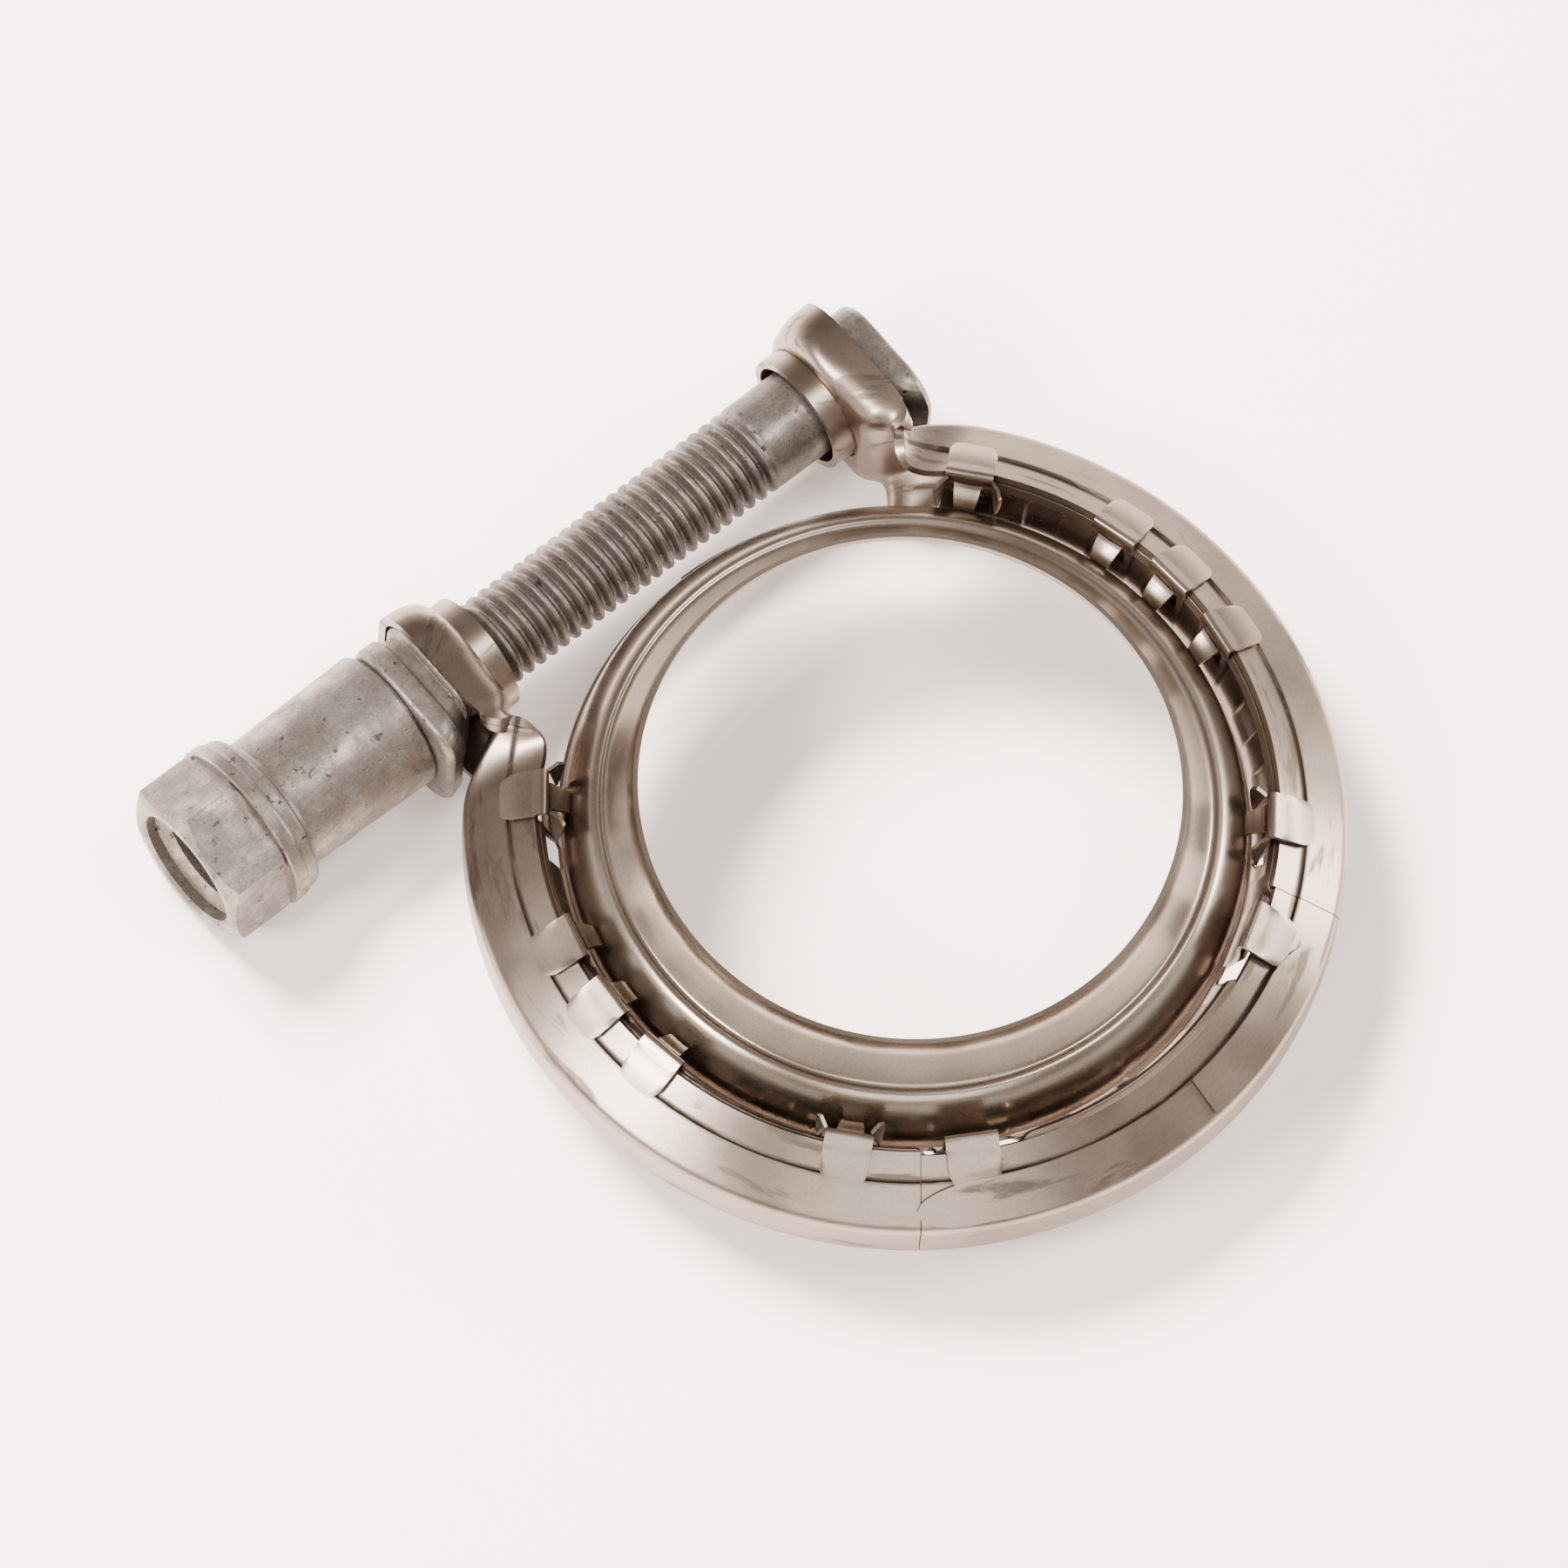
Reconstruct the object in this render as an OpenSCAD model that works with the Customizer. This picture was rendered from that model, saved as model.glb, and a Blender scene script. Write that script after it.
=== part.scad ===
// V-band clamp: two half shells on a flexible bridge, closed by a T-bolt and a sleeve nut, with a
// pressed seal ring held inside the V groove by a clip ring.
//
// Frame: origin at the ring's centre on the groove's middle plane, +Z along the ring's axis towards the
// seal's collar, +X along the bolt from the nut to the T head, +Y from the centre towards the bolt.

/* [Band] */
// Outer radius of the band
band_r = 36.5; // [36:0.1:37]
// Half the width of the band's flat web
web_half = 2.1; // [1.8:0.1:2.4]
// Slope of the V legs against the groove's middle plane, in degrees
leg_slope = 33; // [31:0.5:35]
// Sheet thickness of the shells and liners
sheet = 0.8; // [0.7:0.05:0.9]
// Radius where the outer shell's legs end
shell_end_r = 32.8; // [32.4:0.1:33.2]
// Radius where the liners' lips end
lip_r = 30.3; // [30.1:0.05:30.5]

/* [Ears] */
// Distance from the middle to each ear wall's inner face
ear_x = 19.0; // [18.8:0.1:19.2]
// Outward bend radius between band and ear wall
ear_bend_r = 3.0; // [2.8:0.1:3.2]
// Outer end of the ears along Y
ear_top_y = 40.7; // [40.5:0.1:41]
// Half the ear cup's width along Z
ear_half = 7.2; // [7:0.1:7.4]
// Depth of the ear cup
cup_depth = 3.8; // [3.2:0.1:4.2]
// Length of the collar drawn out of the ear wall towards the gap
neck_len = 1.9; // [1.4:0.1:2.2]
// Outer radius of that collar
neck_r = 5.4; // [5.2:0.1:5.6]
// Radius of the ear's bolt hole
neck_bore_r = 4.7; // [4.6:0.05:4.8]

/* [Bolt] */
// Distance of the bolt's axis from the ring's centre
bolt_y = 34.5; // [34.3:0.1:34.7]
// Thread's outer diameter
thread_d = 8.0; // [7.9:0.05:8]
// Thread pitch
pitch = 1.25; // [1:0.25:1.5]
// Where the thread starts, at the nut's end
thread_start_x = -42; // [-43:0.5:-40]
// Where the thread runs out into the plain shank
thread_stop_x = 12.5; // [12:0.5:14]
// Half the T head's width along Z
head_half = 5.9; // [5.6:0.1:6]
// Outer end of the T head along Y
head_top_y = 39.4; // [39:0.1:39.6]

/* [Nut] */
// Hexagon across flats
nut_flats = 13; // [12.8:0.1:13]
// Where the nut meets the washer
nut_face_x = -26.6; // [-26.8:0.1:-26.5]
// Sleeve length
sleeve_len = 13.2; // [12:0.1:14]
// Sleeve radius at the washer
sleeve_r = 6.25; // [6.1:0.05:6.3]
// Radius of the collar between sleeve and hexagon
collar_r = 7.6; // [7.5:0.1:7.7]
// Collar length
collar_len = 2.8; // [2.4:0.1:3.2]
// Hexagon length
hex_len = 5.9; // [5.5:0.1:6.3]
// Turn of the hexagon about the bolt's axis, in degrees
hex_turn = -7; // [-30:1:30]

/* [Seal] */
// Radius of the seal ring's hole
seal_bore_r = 22.4; // [22.2:0.1:22.6]
// Radius of the seal ring's rim
seal_rim_r = 28.1; // [27.9:0.1:28.2]
// Height of the top of the seal ring's collar
seal_top_z = 9.6; // [9.4:0.1:9.8]
// Seal sheet thickness
seal_sheet = 0.4; // [0.35:0.05:0.45]

/* [Clips] */
// Clip strip thickness
clip_sheet = 0.35; // [0.3:0.05:0.4]
// Width of a clip's leaf
clip_w = 4.0; // [3.6:0.1:4.2]
// Radius that a clip's leaf reaches over the band
leaf_r = 33.6; // [33.2:0.1:34]

/* [Hidden] */
// Clips, and all fingers of the retainer, by their angle from +Y towards either side
CLIP_ANGLES = [49.6, 74.6, 86.0, 98.3, 130.9, 150];
STRIP_ANGLES = [49.6, 62.2, 74.6, 86.0, 98.3, 114, 130.9, 150, 165, 180];
CLIPS = 2 * len(CLIP_ANGLES);

nest = 0.02;              // gap between nested sheets of one body
round_fn = 180;           // the ring's own curves
small_fn = 64;            // bores, shafts and bends
slope = tan(leg_slope);
sheet_z = sheet / cos(leg_slope);                          // a leg's thickness, measured along Z
liner_r = band_r - sheet - nest;                           // outer radius of the liners' web
liner_half = web_half + (sheet + nest) * slope - (sheet + nest) / cos(leg_slope);
bend_x = ear_x + sheet + ear_bend_r;                       // centre of the bend at the ear's foot
bend_y = sqrt(pow(band_r + ear_bend_r, 2) - pow(bend_x, 2));
bend_angle = atan2(bend_y, bend_x);                        // where the band's circle meets the bend
leg_stop = bend_angle - 5;                                 // where the V legs end below the ear
bridge_half = 37.5;                                        // half the bridge's arc, either side of -Y
liner_gap_half = 36.5;                                     // where the side liners end
middle_half = 22.5;                                        // half the middle liner's arc
joint_gap = 0.5;                                           // shell end to bridge, in degrees
foot_half = 5.6;                                           // half the sheet's height at the ear's foot
thread_r = thread_d / 2;
thread_depth = 0.54 * pitch;
bore_gap = 0.08;                                           // running gap of the nut on the bolt
hole_gap = 0.6;                                            // play of the bolt in the washer's hole
seat_gap = 0.25;                                           // washer or T head to its ear wall
seat_x = ear_x + sheet + seat_gap;                         // where both seating blocks start
block_mid_x = 22.9;                                        // step between seating and back block
head_back_x = 25.8;                                        // outer face of the T head
washer_half = 6.1;
washer_top_y = 39.8;
step_in = 0.6;                                             // how far the back block is set in
edge_r = 3.6;                                              // rounded outer corners of the blocks
ring_wall_r = 28.45;                                       // retainer strip, inner radius
ring_low_z = -0.6;
ring_high_z = 2.4;
finger_half_deg = 3.9;                                     // half a finger's width
finger_z = 4.2;                                            // top of the plain fingers
window_z = 0.6;                                            // sill of the windows
clip_arc = 2 * asin(clip_w / 2 / lip_r);
wide_arc = 1.1 * clip_arc;

function leg_z(r, r_web, half) = half + (r_web - r) * slope;

// Section of one V sheet: flat web at r_web, two legs that close inwards down to r_end
module v_section(r_web, half, r_end) {
    inner_half = half + sheet * slope - sheet_z;
    out_z = leg_z(r_end, r_web, half);
    in_z = out_z - sheet_z;
    polygon([
        [r_end, out_z], [r_web, half], [r_web, -half], [r_end, -out_z],
        [r_end, -in_z], [r_web - sheet, -inner_half], [r_web - sheet, inner_half], [r_end, in_z]
    ]);
}

// Turns its children's section about Z from one angle to the other
module arc(from, to) {
    rotate([0, 0, from])
        rotate_extrude(angle = to - from, $fn = round_fn)
            children();
}

// Cylinder along X between two stations, on the bolt's axis
module on_bolt(x0, x1, r0, r1) {
    translate([x0, bolt_y, 0])
        rotate([0, 90, 0])
            cylinder(h = x1 - x0, r1 = r0, r2 = r1, $fn = small_fn);
}

// Outline in the Y-Z plane with two rounded corners at the outer end, extruded along X
module rounded_block(x0, x1, y0, y1, half, corner) {
    translate([x0, 0, 0])
        rotate([90, 0, 90])
            linear_extrude(height = x1 - x0)
                union() {
                    translate([y0, -half])
                        square([y1 - y0 - corner, 2 * half]);
                    translate([y0, corner - half])
                        square([y1 - y0, 2 * (half - corner)]);
                    for (side = [-1, 1])
                        translate([y1 - corner, side * (half - corner)])
                            circle(r = corner, $fn = small_fn);
                }
}

// Right-hand ear: bend, wall, cup and drawn collar
module ear() {
    difference() {
        union() {
            translate([bend_x, bend_y, -foot_half])
                rotate([0, 0, 180])
                    rotate_extrude(angle = bend_angle, $fn = small_fn)
                        translate([ear_bend_r, 0])
                            square([sheet, 2 * foot_half]);
            difference() {
                rounded_block(ear_x, ear_x + cup_depth, bend_y, ear_top_y, ear_half, edge_r + sheet);
                rounded_block(
                    ear_x + sheet, ear_x + cup_depth + 1, bend_y - 1, ear_top_y - sheet,
                    ear_half - sheet, edge_r
                );
            }
            on_bolt(ear_x - neck_len, ear_x + sheet / 2, neck_r, neck_r);
        }
        on_bolt(ear_x - neck_len - 1, ear_x + sheet + 1, neck_bore_r, neck_bore_r);
    }
}

// Flanges that carry the cup's sides down beside the band's web, joining cup and V legs
module ear_root() {
    for (side = [-1, 1])
        translate([0, 0, side > 0 ? ear_half - sheet : -ear_half])
            linear_extrude(height = sheet)
                intersection() {
                    polygon([
                        [ear_x, bend_y + 0.5], [ear_x, bend_y - 3.5], [ear_x + 1.9, bend_y - 6.6],
                        [ear_x + 3.9, bend_y - 5.4], [ear_x + cup_depth, bend_y + 0.5]
                    ]);
                    circle(r = band_r + 3.5, $fn = round_fn);
                }
    arc(leg_stop - 2, bend_angle)
        translate([band_r - sheet, -ear_half + 0.1])
            square([sheet, 2 * ear_half - 0.2]);
}

module right_band_shell() {
    color("tan") {
        arc(-90 + bridge_half + joint_gap, leg_stop)
            v_section(band_r, web_half, shell_end_r);
        ear();
        ear_root();
    }
}

module left_band_shell() {
    mirror([1, 0, 0])
        right_band_shell();
}

module right_liner() {
    color("rosybrown")
        arc(-90 + liner_gap_half, leg_stop - 3)
            v_section(liner_r, liner_half, lip_r);
}

module left_liner() {
    mirror([1, 0, 0])
        right_liner();
}

module middle_liner() {
    color("rosybrown")
        arc(-90 - middle_half, -90 + middle_half)
            v_section(liner_r, liner_half, lip_r);
}

module hinge_bridge() {
    color("burlywood")
        arc(-90 - bridge_half, -90 + bridge_half)
            v_section(band_r, web_half, shell_end_r);
}

// Hat section: rim, steep wall, ridge, groove, sloping flange and a short upright collar
module seal_ring() {
    top = [
        [seal_rim_r + 0.2, 1.0], [seal_rim_r, 3.2], [27.2, 4.6], [26.2, 5.7], [25.6, 6.0], [25.1, 5.8],
        [24.7, 6.2], [23.2, 8.0], [seal_bore_r + seal_sheet, seal_top_z - 0.8],
        [seal_bore_r + seal_sheet, seal_top_z]
    ];
    under = [
        [seal_bore_r, seal_top_z], [seal_bore_r, seal_top_z - 1.0], [22.9, 7.7], [24.4, 5.8],
        [25.1, 5.35], [25.6, 5.5], [26.0, 5.3], [26.9, 4.3], [seal_rim_r - seal_sheet, 3.0],
        [seal_rim_r + 0.2 - seal_sheet, 1.0]
    ];
    color("gray")
        rotate_extrude($fn = round_fn)
            polygon(concat(top, under));
}

// Wedge about Z from one angle to the other, standing on z, for cutting windows out of the strip
module wedge(from, to, z) {
    reach = 40;
    translate([0, 0, z])
        linear_extrude(height = 10)
            polygon([[0, 0], [reach * cos(from), reach * sin(from)], [reach * cos(to), reach * sin(to)]]);
}

// Thin strip round the seal's rim: windows between its fingers, short behind clips, tall elsewhere
module retainer_ring() {
    color("dimgray")
        difference() {
            translate([0, 0, ring_low_z])
                cylinder(h = finger_z - ring_low_z, r = ring_wall_r + clip_sheet, $fn = round_fn);
            translate([0, 0, ring_low_z - 1])
                cylinder(h = finger_z - ring_low_z + 2, r = ring_wall_r, $fn = round_fn);
            for (i = [0 : len(STRIP_ANGLES) - 2])
                for (side = [-1, 1])
                    wedge(
                        90 + side * (STRIP_ANGLES[i] + finger_half_deg),
                        90 + side * (STRIP_ANGLES[i + 1] - finger_half_deg), window_z
                    );
            wedge(90 - STRIP_ANGLES[0] + finger_half_deg, 90 + STRIP_ANGLES[0] - finger_half_deg, window_z);
            for (i = [1 : CLIPS])
                wedge(clip_angle(i) - finger_half_deg - 0.5, clip_angle(i) + finger_half_deg + 0.5, ring_high_z);
        }
}

// Clip 1 is beside the right ear; 6 and 7 straddle the bridge; 12 is beside the left ear
function clip_angle(i) = i <= CLIPS / 2 ? 90 - CLIP_ANGLES[i - 1] : 90 + CLIP_ANGLES[CLIPS - i];
function clip_width(i) = i == CLIPS / 2 || i == CLIPS / 2 + 1 ? wide_arc : clip_arc;

// Strip that stands on the retainer, passes inside the lip and folds out over the band's leg
module hook_clip(i) {
    foot_r = ring_wall_r + clip_sheet + nest;
    inner_r = lip_r - 0.75;
    fold_r = inner_r + 0.45;
    leaf_low = 0.15;
    over_r = leg_z(fold_r, band_r, web_half) + leaf_low;
    over_tip = leg_z(leaf_r, band_r, web_half) + leaf_low;
    thick_z = clip_sheet / cos(leg_slope);
    color("silver")
        arc(clip_angle(i) - clip_width(i) / 2, clip_angle(i) + clip_width(i) / 2)
            polygon([
                [foot_r, ring_low_z + 0.6], [foot_r, ring_high_z - 0.2], [inner_r, 3.6],
                [inner_r, over_r - 0.1], [fold_r, over_r + thick_z], [leaf_r, over_tip + thick_z],
                [leaf_r, over_tip], [fold_r + 0.15, over_r - 0.1], [inner_r + clip_sheet, over_r - 0.5],
                [inner_r + clip_sheet, 3.4], [foot_r + clip_sheet, ring_high_z - 0.4],
                [foot_r + clip_sheet, ring_low_z + 0.6]
            ]);
}

// Cuts a block's ring-side end on a slant, so that it clears the band
module ring_side_cut(x_back, y_front, y_back) {
    translate([0, 0, -10])
        linear_extrude(height = 20)
            polygon([
                [seat_x - 1, y_front + 0.8], [seat_x, y_front], [x_back - 0.9, y_back],
                [x_back, y_back + 0.7], [x_back + 1, y_back + 2.6], [x_back + 1, 10], [seat_x - 1, 10]
            ]);
}

// Seat face curved about a Z axis, so that the block can rock in its cup
module seat_curve() {
    seat_curve_r = 45;
    difference() {
        translate([seat_x - 2, bolt_y - 15, -10])
            cube([5, 30, 20]);
        translate([seat_x + seat_curve_r, bolt_y, -11])
            cylinder(h = 22, r = seat_curve_r, $fn = 4 * round_fn);
    }
}

// Thread drawn as rings, one groove per pitch
module threaded_rod() {
    turns = floor((thread_stop_x - thread_start_x) / pitch);
    grooves = [
        for (i = [0 : turns - 1])
            for (p = [[0.12, 0], [0.44, thread_depth], [0.56, thread_depth], [0.88, 0]])
                [thread_r - p[1], (i + p[0]) * pitch]
    ];
    end = turns * pitch;
    translate([thread_start_x, bolt_y, 0])
        rotate([0, 90, 0])
            rotate_extrude($fn = small_fn)
                polygon(concat([[0, 0], [thread_r - thread_depth, 0]], grooves, [[thread_r, end], [0, end]]));
}

module t_bolt() {
    shank_from = thread_start_x + floor((thread_stop_x - thread_start_x) / pitch) * pitch;
    color("darkgray") {
        threaded_rod();
        on_bolt(shank_from - 0.01, seat_x + 1, thread_r, thread_r);
        difference() {
            union() {
                rounded_block(seat_x, block_mid_x, 25, head_top_y, head_half, edge_r);
                rounded_block(block_mid_x - 0.1, head_back_x, 25, head_top_y - 0.3, head_half - step_in, edge_r);
            }
            ring_side_cut(head_back_x, 31.9, 27.2);
            seat_curve();
        }
    }
}

module saddle_washer() {
    color("darkgray")
        mirror([1, 0, 0])
            difference() {
                union() {
                    rounded_block(seat_x, block_mid_x, 24, washer_top_y, washer_half, edge_r);
                    rounded_block(
                        block_mid_x - 0.1, -nut_face_x, 24, washer_top_y - 0.3, washer_half - 0.3, edge_r
                    );
                }
                ring_side_cut(-nut_face_x, 31.9, 26.6);
                seat_curve();
                on_bolt(seat_x - 1, -nut_face_x + 1, thread_r + hole_gap, thread_r + hole_gap);
            }
}

module sleeve_nut() {
    collar_x = nut_face_x - 0.05 - sleeve_len;
    hex_x = collar_x - collar_len;
    end_x = hex_x - hex_len;
    corner_r = nut_flats / 2 / cos(30);
    mouth_r = 5.2;
    mouth_depth = 1.2;
    color("slategray")
        difference() {
            union() {
                on_bolt(collar_x - 0.01, nut_face_x - 0.05, sleeve_r - 0.2, sleeve_r);
                on_bolt(hex_x - 0.01, collar_x, collar_r, collar_r);
                intersection() {
                    translate([end_x, bolt_y, 0])
                        rotate([0, 90, 0])
                            rotate([0, 0, hex_turn])
                                cylinder(h = hex_len, r = corner_r, $fn = 6);
                    on_bolt(end_x, hex_x + 0.5, nut_flats / 2 - 0.1, corner_r + 3.5);
                }
            }
            on_bolt(end_x - 1, nut_face_x + 1, thread_r + bore_gap, thread_r + bore_gap);
            on_bolt(end_x - 0.01, end_x + mouth_depth, mouth_r, thread_r);
        }
}

left_band_shell();
right_band_shell();
left_liner();
right_liner();
middle_liner();
hinge_bridge();
seal_ring();
retainer_ring();
t_bolt();
saddle_washer();
sleeve_nut();
for (i = [1 : CLIPS])
    hook_clip(i);
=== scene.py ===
"""Looks of a V-band clamp with its seal ring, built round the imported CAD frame.

Every piece is a surface worked out as whole arrays in millimetres, in the CAD's own frame: origin at the
ring's centre on the groove's middle plane, +Z along the ring's axis, +X along the bolt from the nut to
the T head. It is turned to metres only when its mesh is written.
"""

import logging
import math
from dataclasses import dataclass
from enum import Enum
from functools import partial

import bpy
import numpy as np
from mathutils import Matrix, Vector


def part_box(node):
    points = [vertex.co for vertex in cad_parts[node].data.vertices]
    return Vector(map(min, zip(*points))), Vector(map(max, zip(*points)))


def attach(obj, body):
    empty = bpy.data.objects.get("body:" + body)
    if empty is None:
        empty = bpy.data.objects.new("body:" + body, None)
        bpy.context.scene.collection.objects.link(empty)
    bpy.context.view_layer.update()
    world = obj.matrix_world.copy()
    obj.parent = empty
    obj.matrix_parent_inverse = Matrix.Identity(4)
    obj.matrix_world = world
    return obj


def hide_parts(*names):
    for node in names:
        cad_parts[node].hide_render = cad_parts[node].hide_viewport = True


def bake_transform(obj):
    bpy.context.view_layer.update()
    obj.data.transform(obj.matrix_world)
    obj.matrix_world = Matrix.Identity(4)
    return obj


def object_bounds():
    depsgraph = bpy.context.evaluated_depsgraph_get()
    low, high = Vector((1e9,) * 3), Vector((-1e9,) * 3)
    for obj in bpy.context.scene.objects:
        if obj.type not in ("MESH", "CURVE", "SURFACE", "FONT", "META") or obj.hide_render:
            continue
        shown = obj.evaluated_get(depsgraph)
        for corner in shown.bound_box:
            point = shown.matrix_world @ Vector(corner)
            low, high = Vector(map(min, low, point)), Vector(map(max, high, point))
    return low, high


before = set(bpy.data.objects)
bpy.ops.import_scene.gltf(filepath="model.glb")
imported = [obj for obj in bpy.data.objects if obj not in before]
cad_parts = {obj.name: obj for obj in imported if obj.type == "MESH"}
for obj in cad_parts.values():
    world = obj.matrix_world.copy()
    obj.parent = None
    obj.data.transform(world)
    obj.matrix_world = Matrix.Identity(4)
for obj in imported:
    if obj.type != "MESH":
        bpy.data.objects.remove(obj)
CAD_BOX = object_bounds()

log = logging.getLogger("clamp")
MM = 0.001
WELD_DIGITS = 4
Material = bpy.types.Material
Array = np.ndarray
Surface = tuple[Array, Array]
Keys = tuple[tuple[float, ...], ...]


class Side(Enum):
    """The half of the clamp that a piece belongs to, as the sign of its X."""

    RIGHT = 1
    LEFT = -1

    @property
    def label(self) -> str:
        """The side's name as pieces and nodes carry it."""
        return self.name.lower()

    @property
    def body(self) -> str:
        """The band body of this side."""
        return f"{self.label}_band"


class ClipKind(Enum):
    """How a hook clip's inner end is cut."""

    WINGED = "winged"
    TONGUE = "tongue"
    PLAIN = "plain"


# ---------------------------------------------------------------- surfaces


def patch(grid: Array, keep: Array | None = None) -> Surface:
    """Turns a grid of points into four-sided faces between neighbouring rows and columns.

    Args:
        grid: points, rows x columns x 3.
        keep: rows-1 x columns-1 flags of the faces to make; all of them if None.

    Returns:
        Points (n x 3) and faces (m x 4).
    """
    rows, cols = grid.shape[:2]
    index = np.arange(rows * cols).reshape(rows, cols)
    corners = [index[:-1, :-1], index[1:, :-1], index[1:, 1:], index[:-1, 1:]]
    faces = np.stack(corners, axis=-1)
    faces = faces.reshape(-1, 4) if keep is None else faces[keep]
    return grid.reshape(-1, 3), faces


def joined(*surfaces: Surface) -> Surface:
    """Puts surfaces together as one, with their faces renumbered.

    Args:
        surfaces: any number of surfaces.

    Returns:
        One surface with all their points and faces.
    """
    starts = np.cumsum([0] + [len(points) for points, _ in surfaces[:-1]])
    points = np.vstack([points for points, _ in surfaces])
    faces = np.vstack([faces + start for (_, faces), start in zip(surfaces, starts)])
    return points, faces


def welded(surface: Surface) -> Surface:
    """Merges points that lie within 0.1 micrometre and drops faces with fewer than three corners.

    Args:
        surface: points and faces.

    Returns:
        The surface with each place held by one point.
    """
    points, faces = surface
    _, first, inverse = np.unique(
        np.round(points, WELD_DIGITS), axis=0, return_index=True, return_inverse=True
    )
    faces = inverse.reshape(-1)[faces]
    ordered = np.sort(faces, axis=1)
    distinct = 1 + (np.diff(ordered, axis=1) != 0).sum(axis=1)
    return points[first], faces[distinct >= 3]


def mirrored(surface: Surface, axis: int) -> Surface:
    """Mirrors a surface across the plane through the origin square to the given axis.

    Args:
        surface: points and faces.
        axis: 0, 1 or 2 for X, Y or Z.

    Returns:
        The mirror image, its faces turned to point the same way out.
    """
    points, faces = surface
    flipped = points.copy()
    flipped[:, axis] *= -1
    return flipped, faces[:, ::-1]


def handed(surface: Surface, side: Side) -> Surface:
    """A right-hand surface as it is, or its mirror image for the left side."""
    return surface if side is Side.RIGHT else mirrored(surface, 0)


def face_normals(surface: Surface) -> Array:
    """Normal of each face, as long as twice its area: the cross product of its two diagonals."""
    points, faces = surface
    a, b, c, d = (points[faces[:, k]] for k in range(4))
    return np.cross(c - a, d - b)


def thickened(surface: Surface, thickness: float | Array) -> Surface:
    """Gives an open surface a thickness: inner point = point - thickness x unit normal, rims closed.

    Args:
        surface: the sheet's one face; the sheet grows against its normals.
        thickness: in mm, one value or one for each point of the surface.

    Returns:
        A closed surface.
    """
    _, first = np.unique(np.round(surface[0], WELD_DIGITS), axis=0, return_index=True)
    depth = np.broadcast_to(np.asarray(thickness, float), len(surface[0]))[first][:, None]
    surface = welded(surface)
    points, faces = surface
    flat = face_normals(surface)
    normal = np.zeros_like(points)
    for corner in range(4):
        np.add.at(normal, faces[:, corner], flat)
    normal /= np.maximum(np.linalg.norm(normal, axis=1, keepdims=True), 1e-12)
    edges = faces[:, [0, 1, 1, 2, 2, 3, 3, 0]].reshape(-1, 2)
    edges = edges[edges[:, 0] != edges[:, 1]]
    count = len(points)
    code = edges[:, 0] * count + edges[:, 1]
    rim = edges[~np.isin(edges[:, 1] * count + edges[:, 0], code)]
    walls = np.stack([rim[:, 1], rim[:, 0], rim[:, 0] + count, rim[:, 1] + count], axis=1)
    return np.vstack([points, points - depth * normal]), np.vstack([faces, faces[:, ::-1] + count, walls])


def outward(surface: Surface) -> Surface:
    """Turns a closed surface so that its faces point outwards, by the sign of the volume it holds.

    Args:
        surface: a closed surface.

    Returns:
        The same surface, its faces turned over where they pointed inwards.
    """
    points, faces = surface
    a, b, c, d = (points[faces[:, k]] for k in range(4))
    volume = (a * (np.cross(b, c) + np.cross(c, d))).sum() / 6
    return (points, faces) if volume > 0 else (points, faces[:, ::-1])


def through(keys: Array, count: int) -> Array:
    """Smooth curve through key points: a Catmull-Rom spline, even in the keys' own spacing.

    Args:
        keys: key points, k x dimensions.
        count: number of points wanted.

    Returns:
        count x dimensions points, the first and last on the end keys.
    """
    keys = np.asarray(keys, float)
    padded = np.vstack([2 * keys[0] - keys[1], keys, 2 * keys[-1] - keys[-2]])
    place = np.linspace(0, len(keys) - 1, count)
    i = np.minimum(place.astype(int), len(keys) - 2)
    t = (place - i)[:, None]
    p0, p1, p2, p3 = (padded[i + k] for k in range(4))
    return 0.5 * (
        2 * p1 + (p2 - p0) * t + (2 * p0 - 5 * p1 + 4 * p2 - p3) * t**2 + (3 * p1 - p0 - 3 * p2 + p3) * t**3
    )


def eased(t: Array) -> Array:
    """Smooth step from 0 to 1: 3t^2 - 2t^3, with t held between 0 and 1."""
    t = np.clip(t, 0, 1)
    return t * t * (3 - 2 * t)


def corner_curve(
    start: Array,
    corner: Array,
    end: Array,
    cut: Array,
    counts: tuple[int, int, int],
    cut_after: Array | None = None,
) -> Array:
    """Straight, rounded corner, straight: a quadratic Bezier takes the last cut mm on both sides.

    Args:
        start, corner, end: rows x 3 points.
        cut: rows values, how far from the corner the rounding starts.
        counts: columns on the first straight, the corner and the last straight.
        cut_after: rows values, how far past the corner the rounding ends; the same as cut if None.

    Returns:
        rows x columns x 3 points from start to end.
    """
    cut = np.asarray(cut, float)[:, None]
    cut_after = cut if cut_after is None else np.asarray(cut_after, float)[:, None]
    before, after = corner - start, end - corner
    enter = corner - before / np.linalg.norm(before, axis=1, keepdims=True) * cut
    leave = corner + after / np.linalg.norm(after, axis=1, keepdims=True) * cut_after
    t0 = np.linspace(0, 1, counts[0], endpoint=False)[None, :, None]
    t1 = np.linspace(0, 1, counts[1], endpoint=False)[None, :, None]
    t2 = np.linspace(0, 1, counts[2])[None, :, None]
    first = start[:, None] + (enter - start)[:, None] * t0
    bend = enter[:, None] * (1 - t1) ** 2 + corner[:, None] * 2 * t1 * (1 - t1) + leave[:, None] * t1**2
    last = leave[:, None] + (end - leave)[:, None] * t2
    return np.concatenate([first, bend, last], axis=1)


def about_z(radius: Array, z: Array, angle: Array) -> Array:
    """Points at a radius and height, turned about Z by an angle in radians; the arrays broadcast."""
    radius, z, angle = np.broadcast_arrays(radius, z, angle)
    return np.stack([radius * np.cos(angle), radius * np.sin(angle), z], axis=-1)


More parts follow.
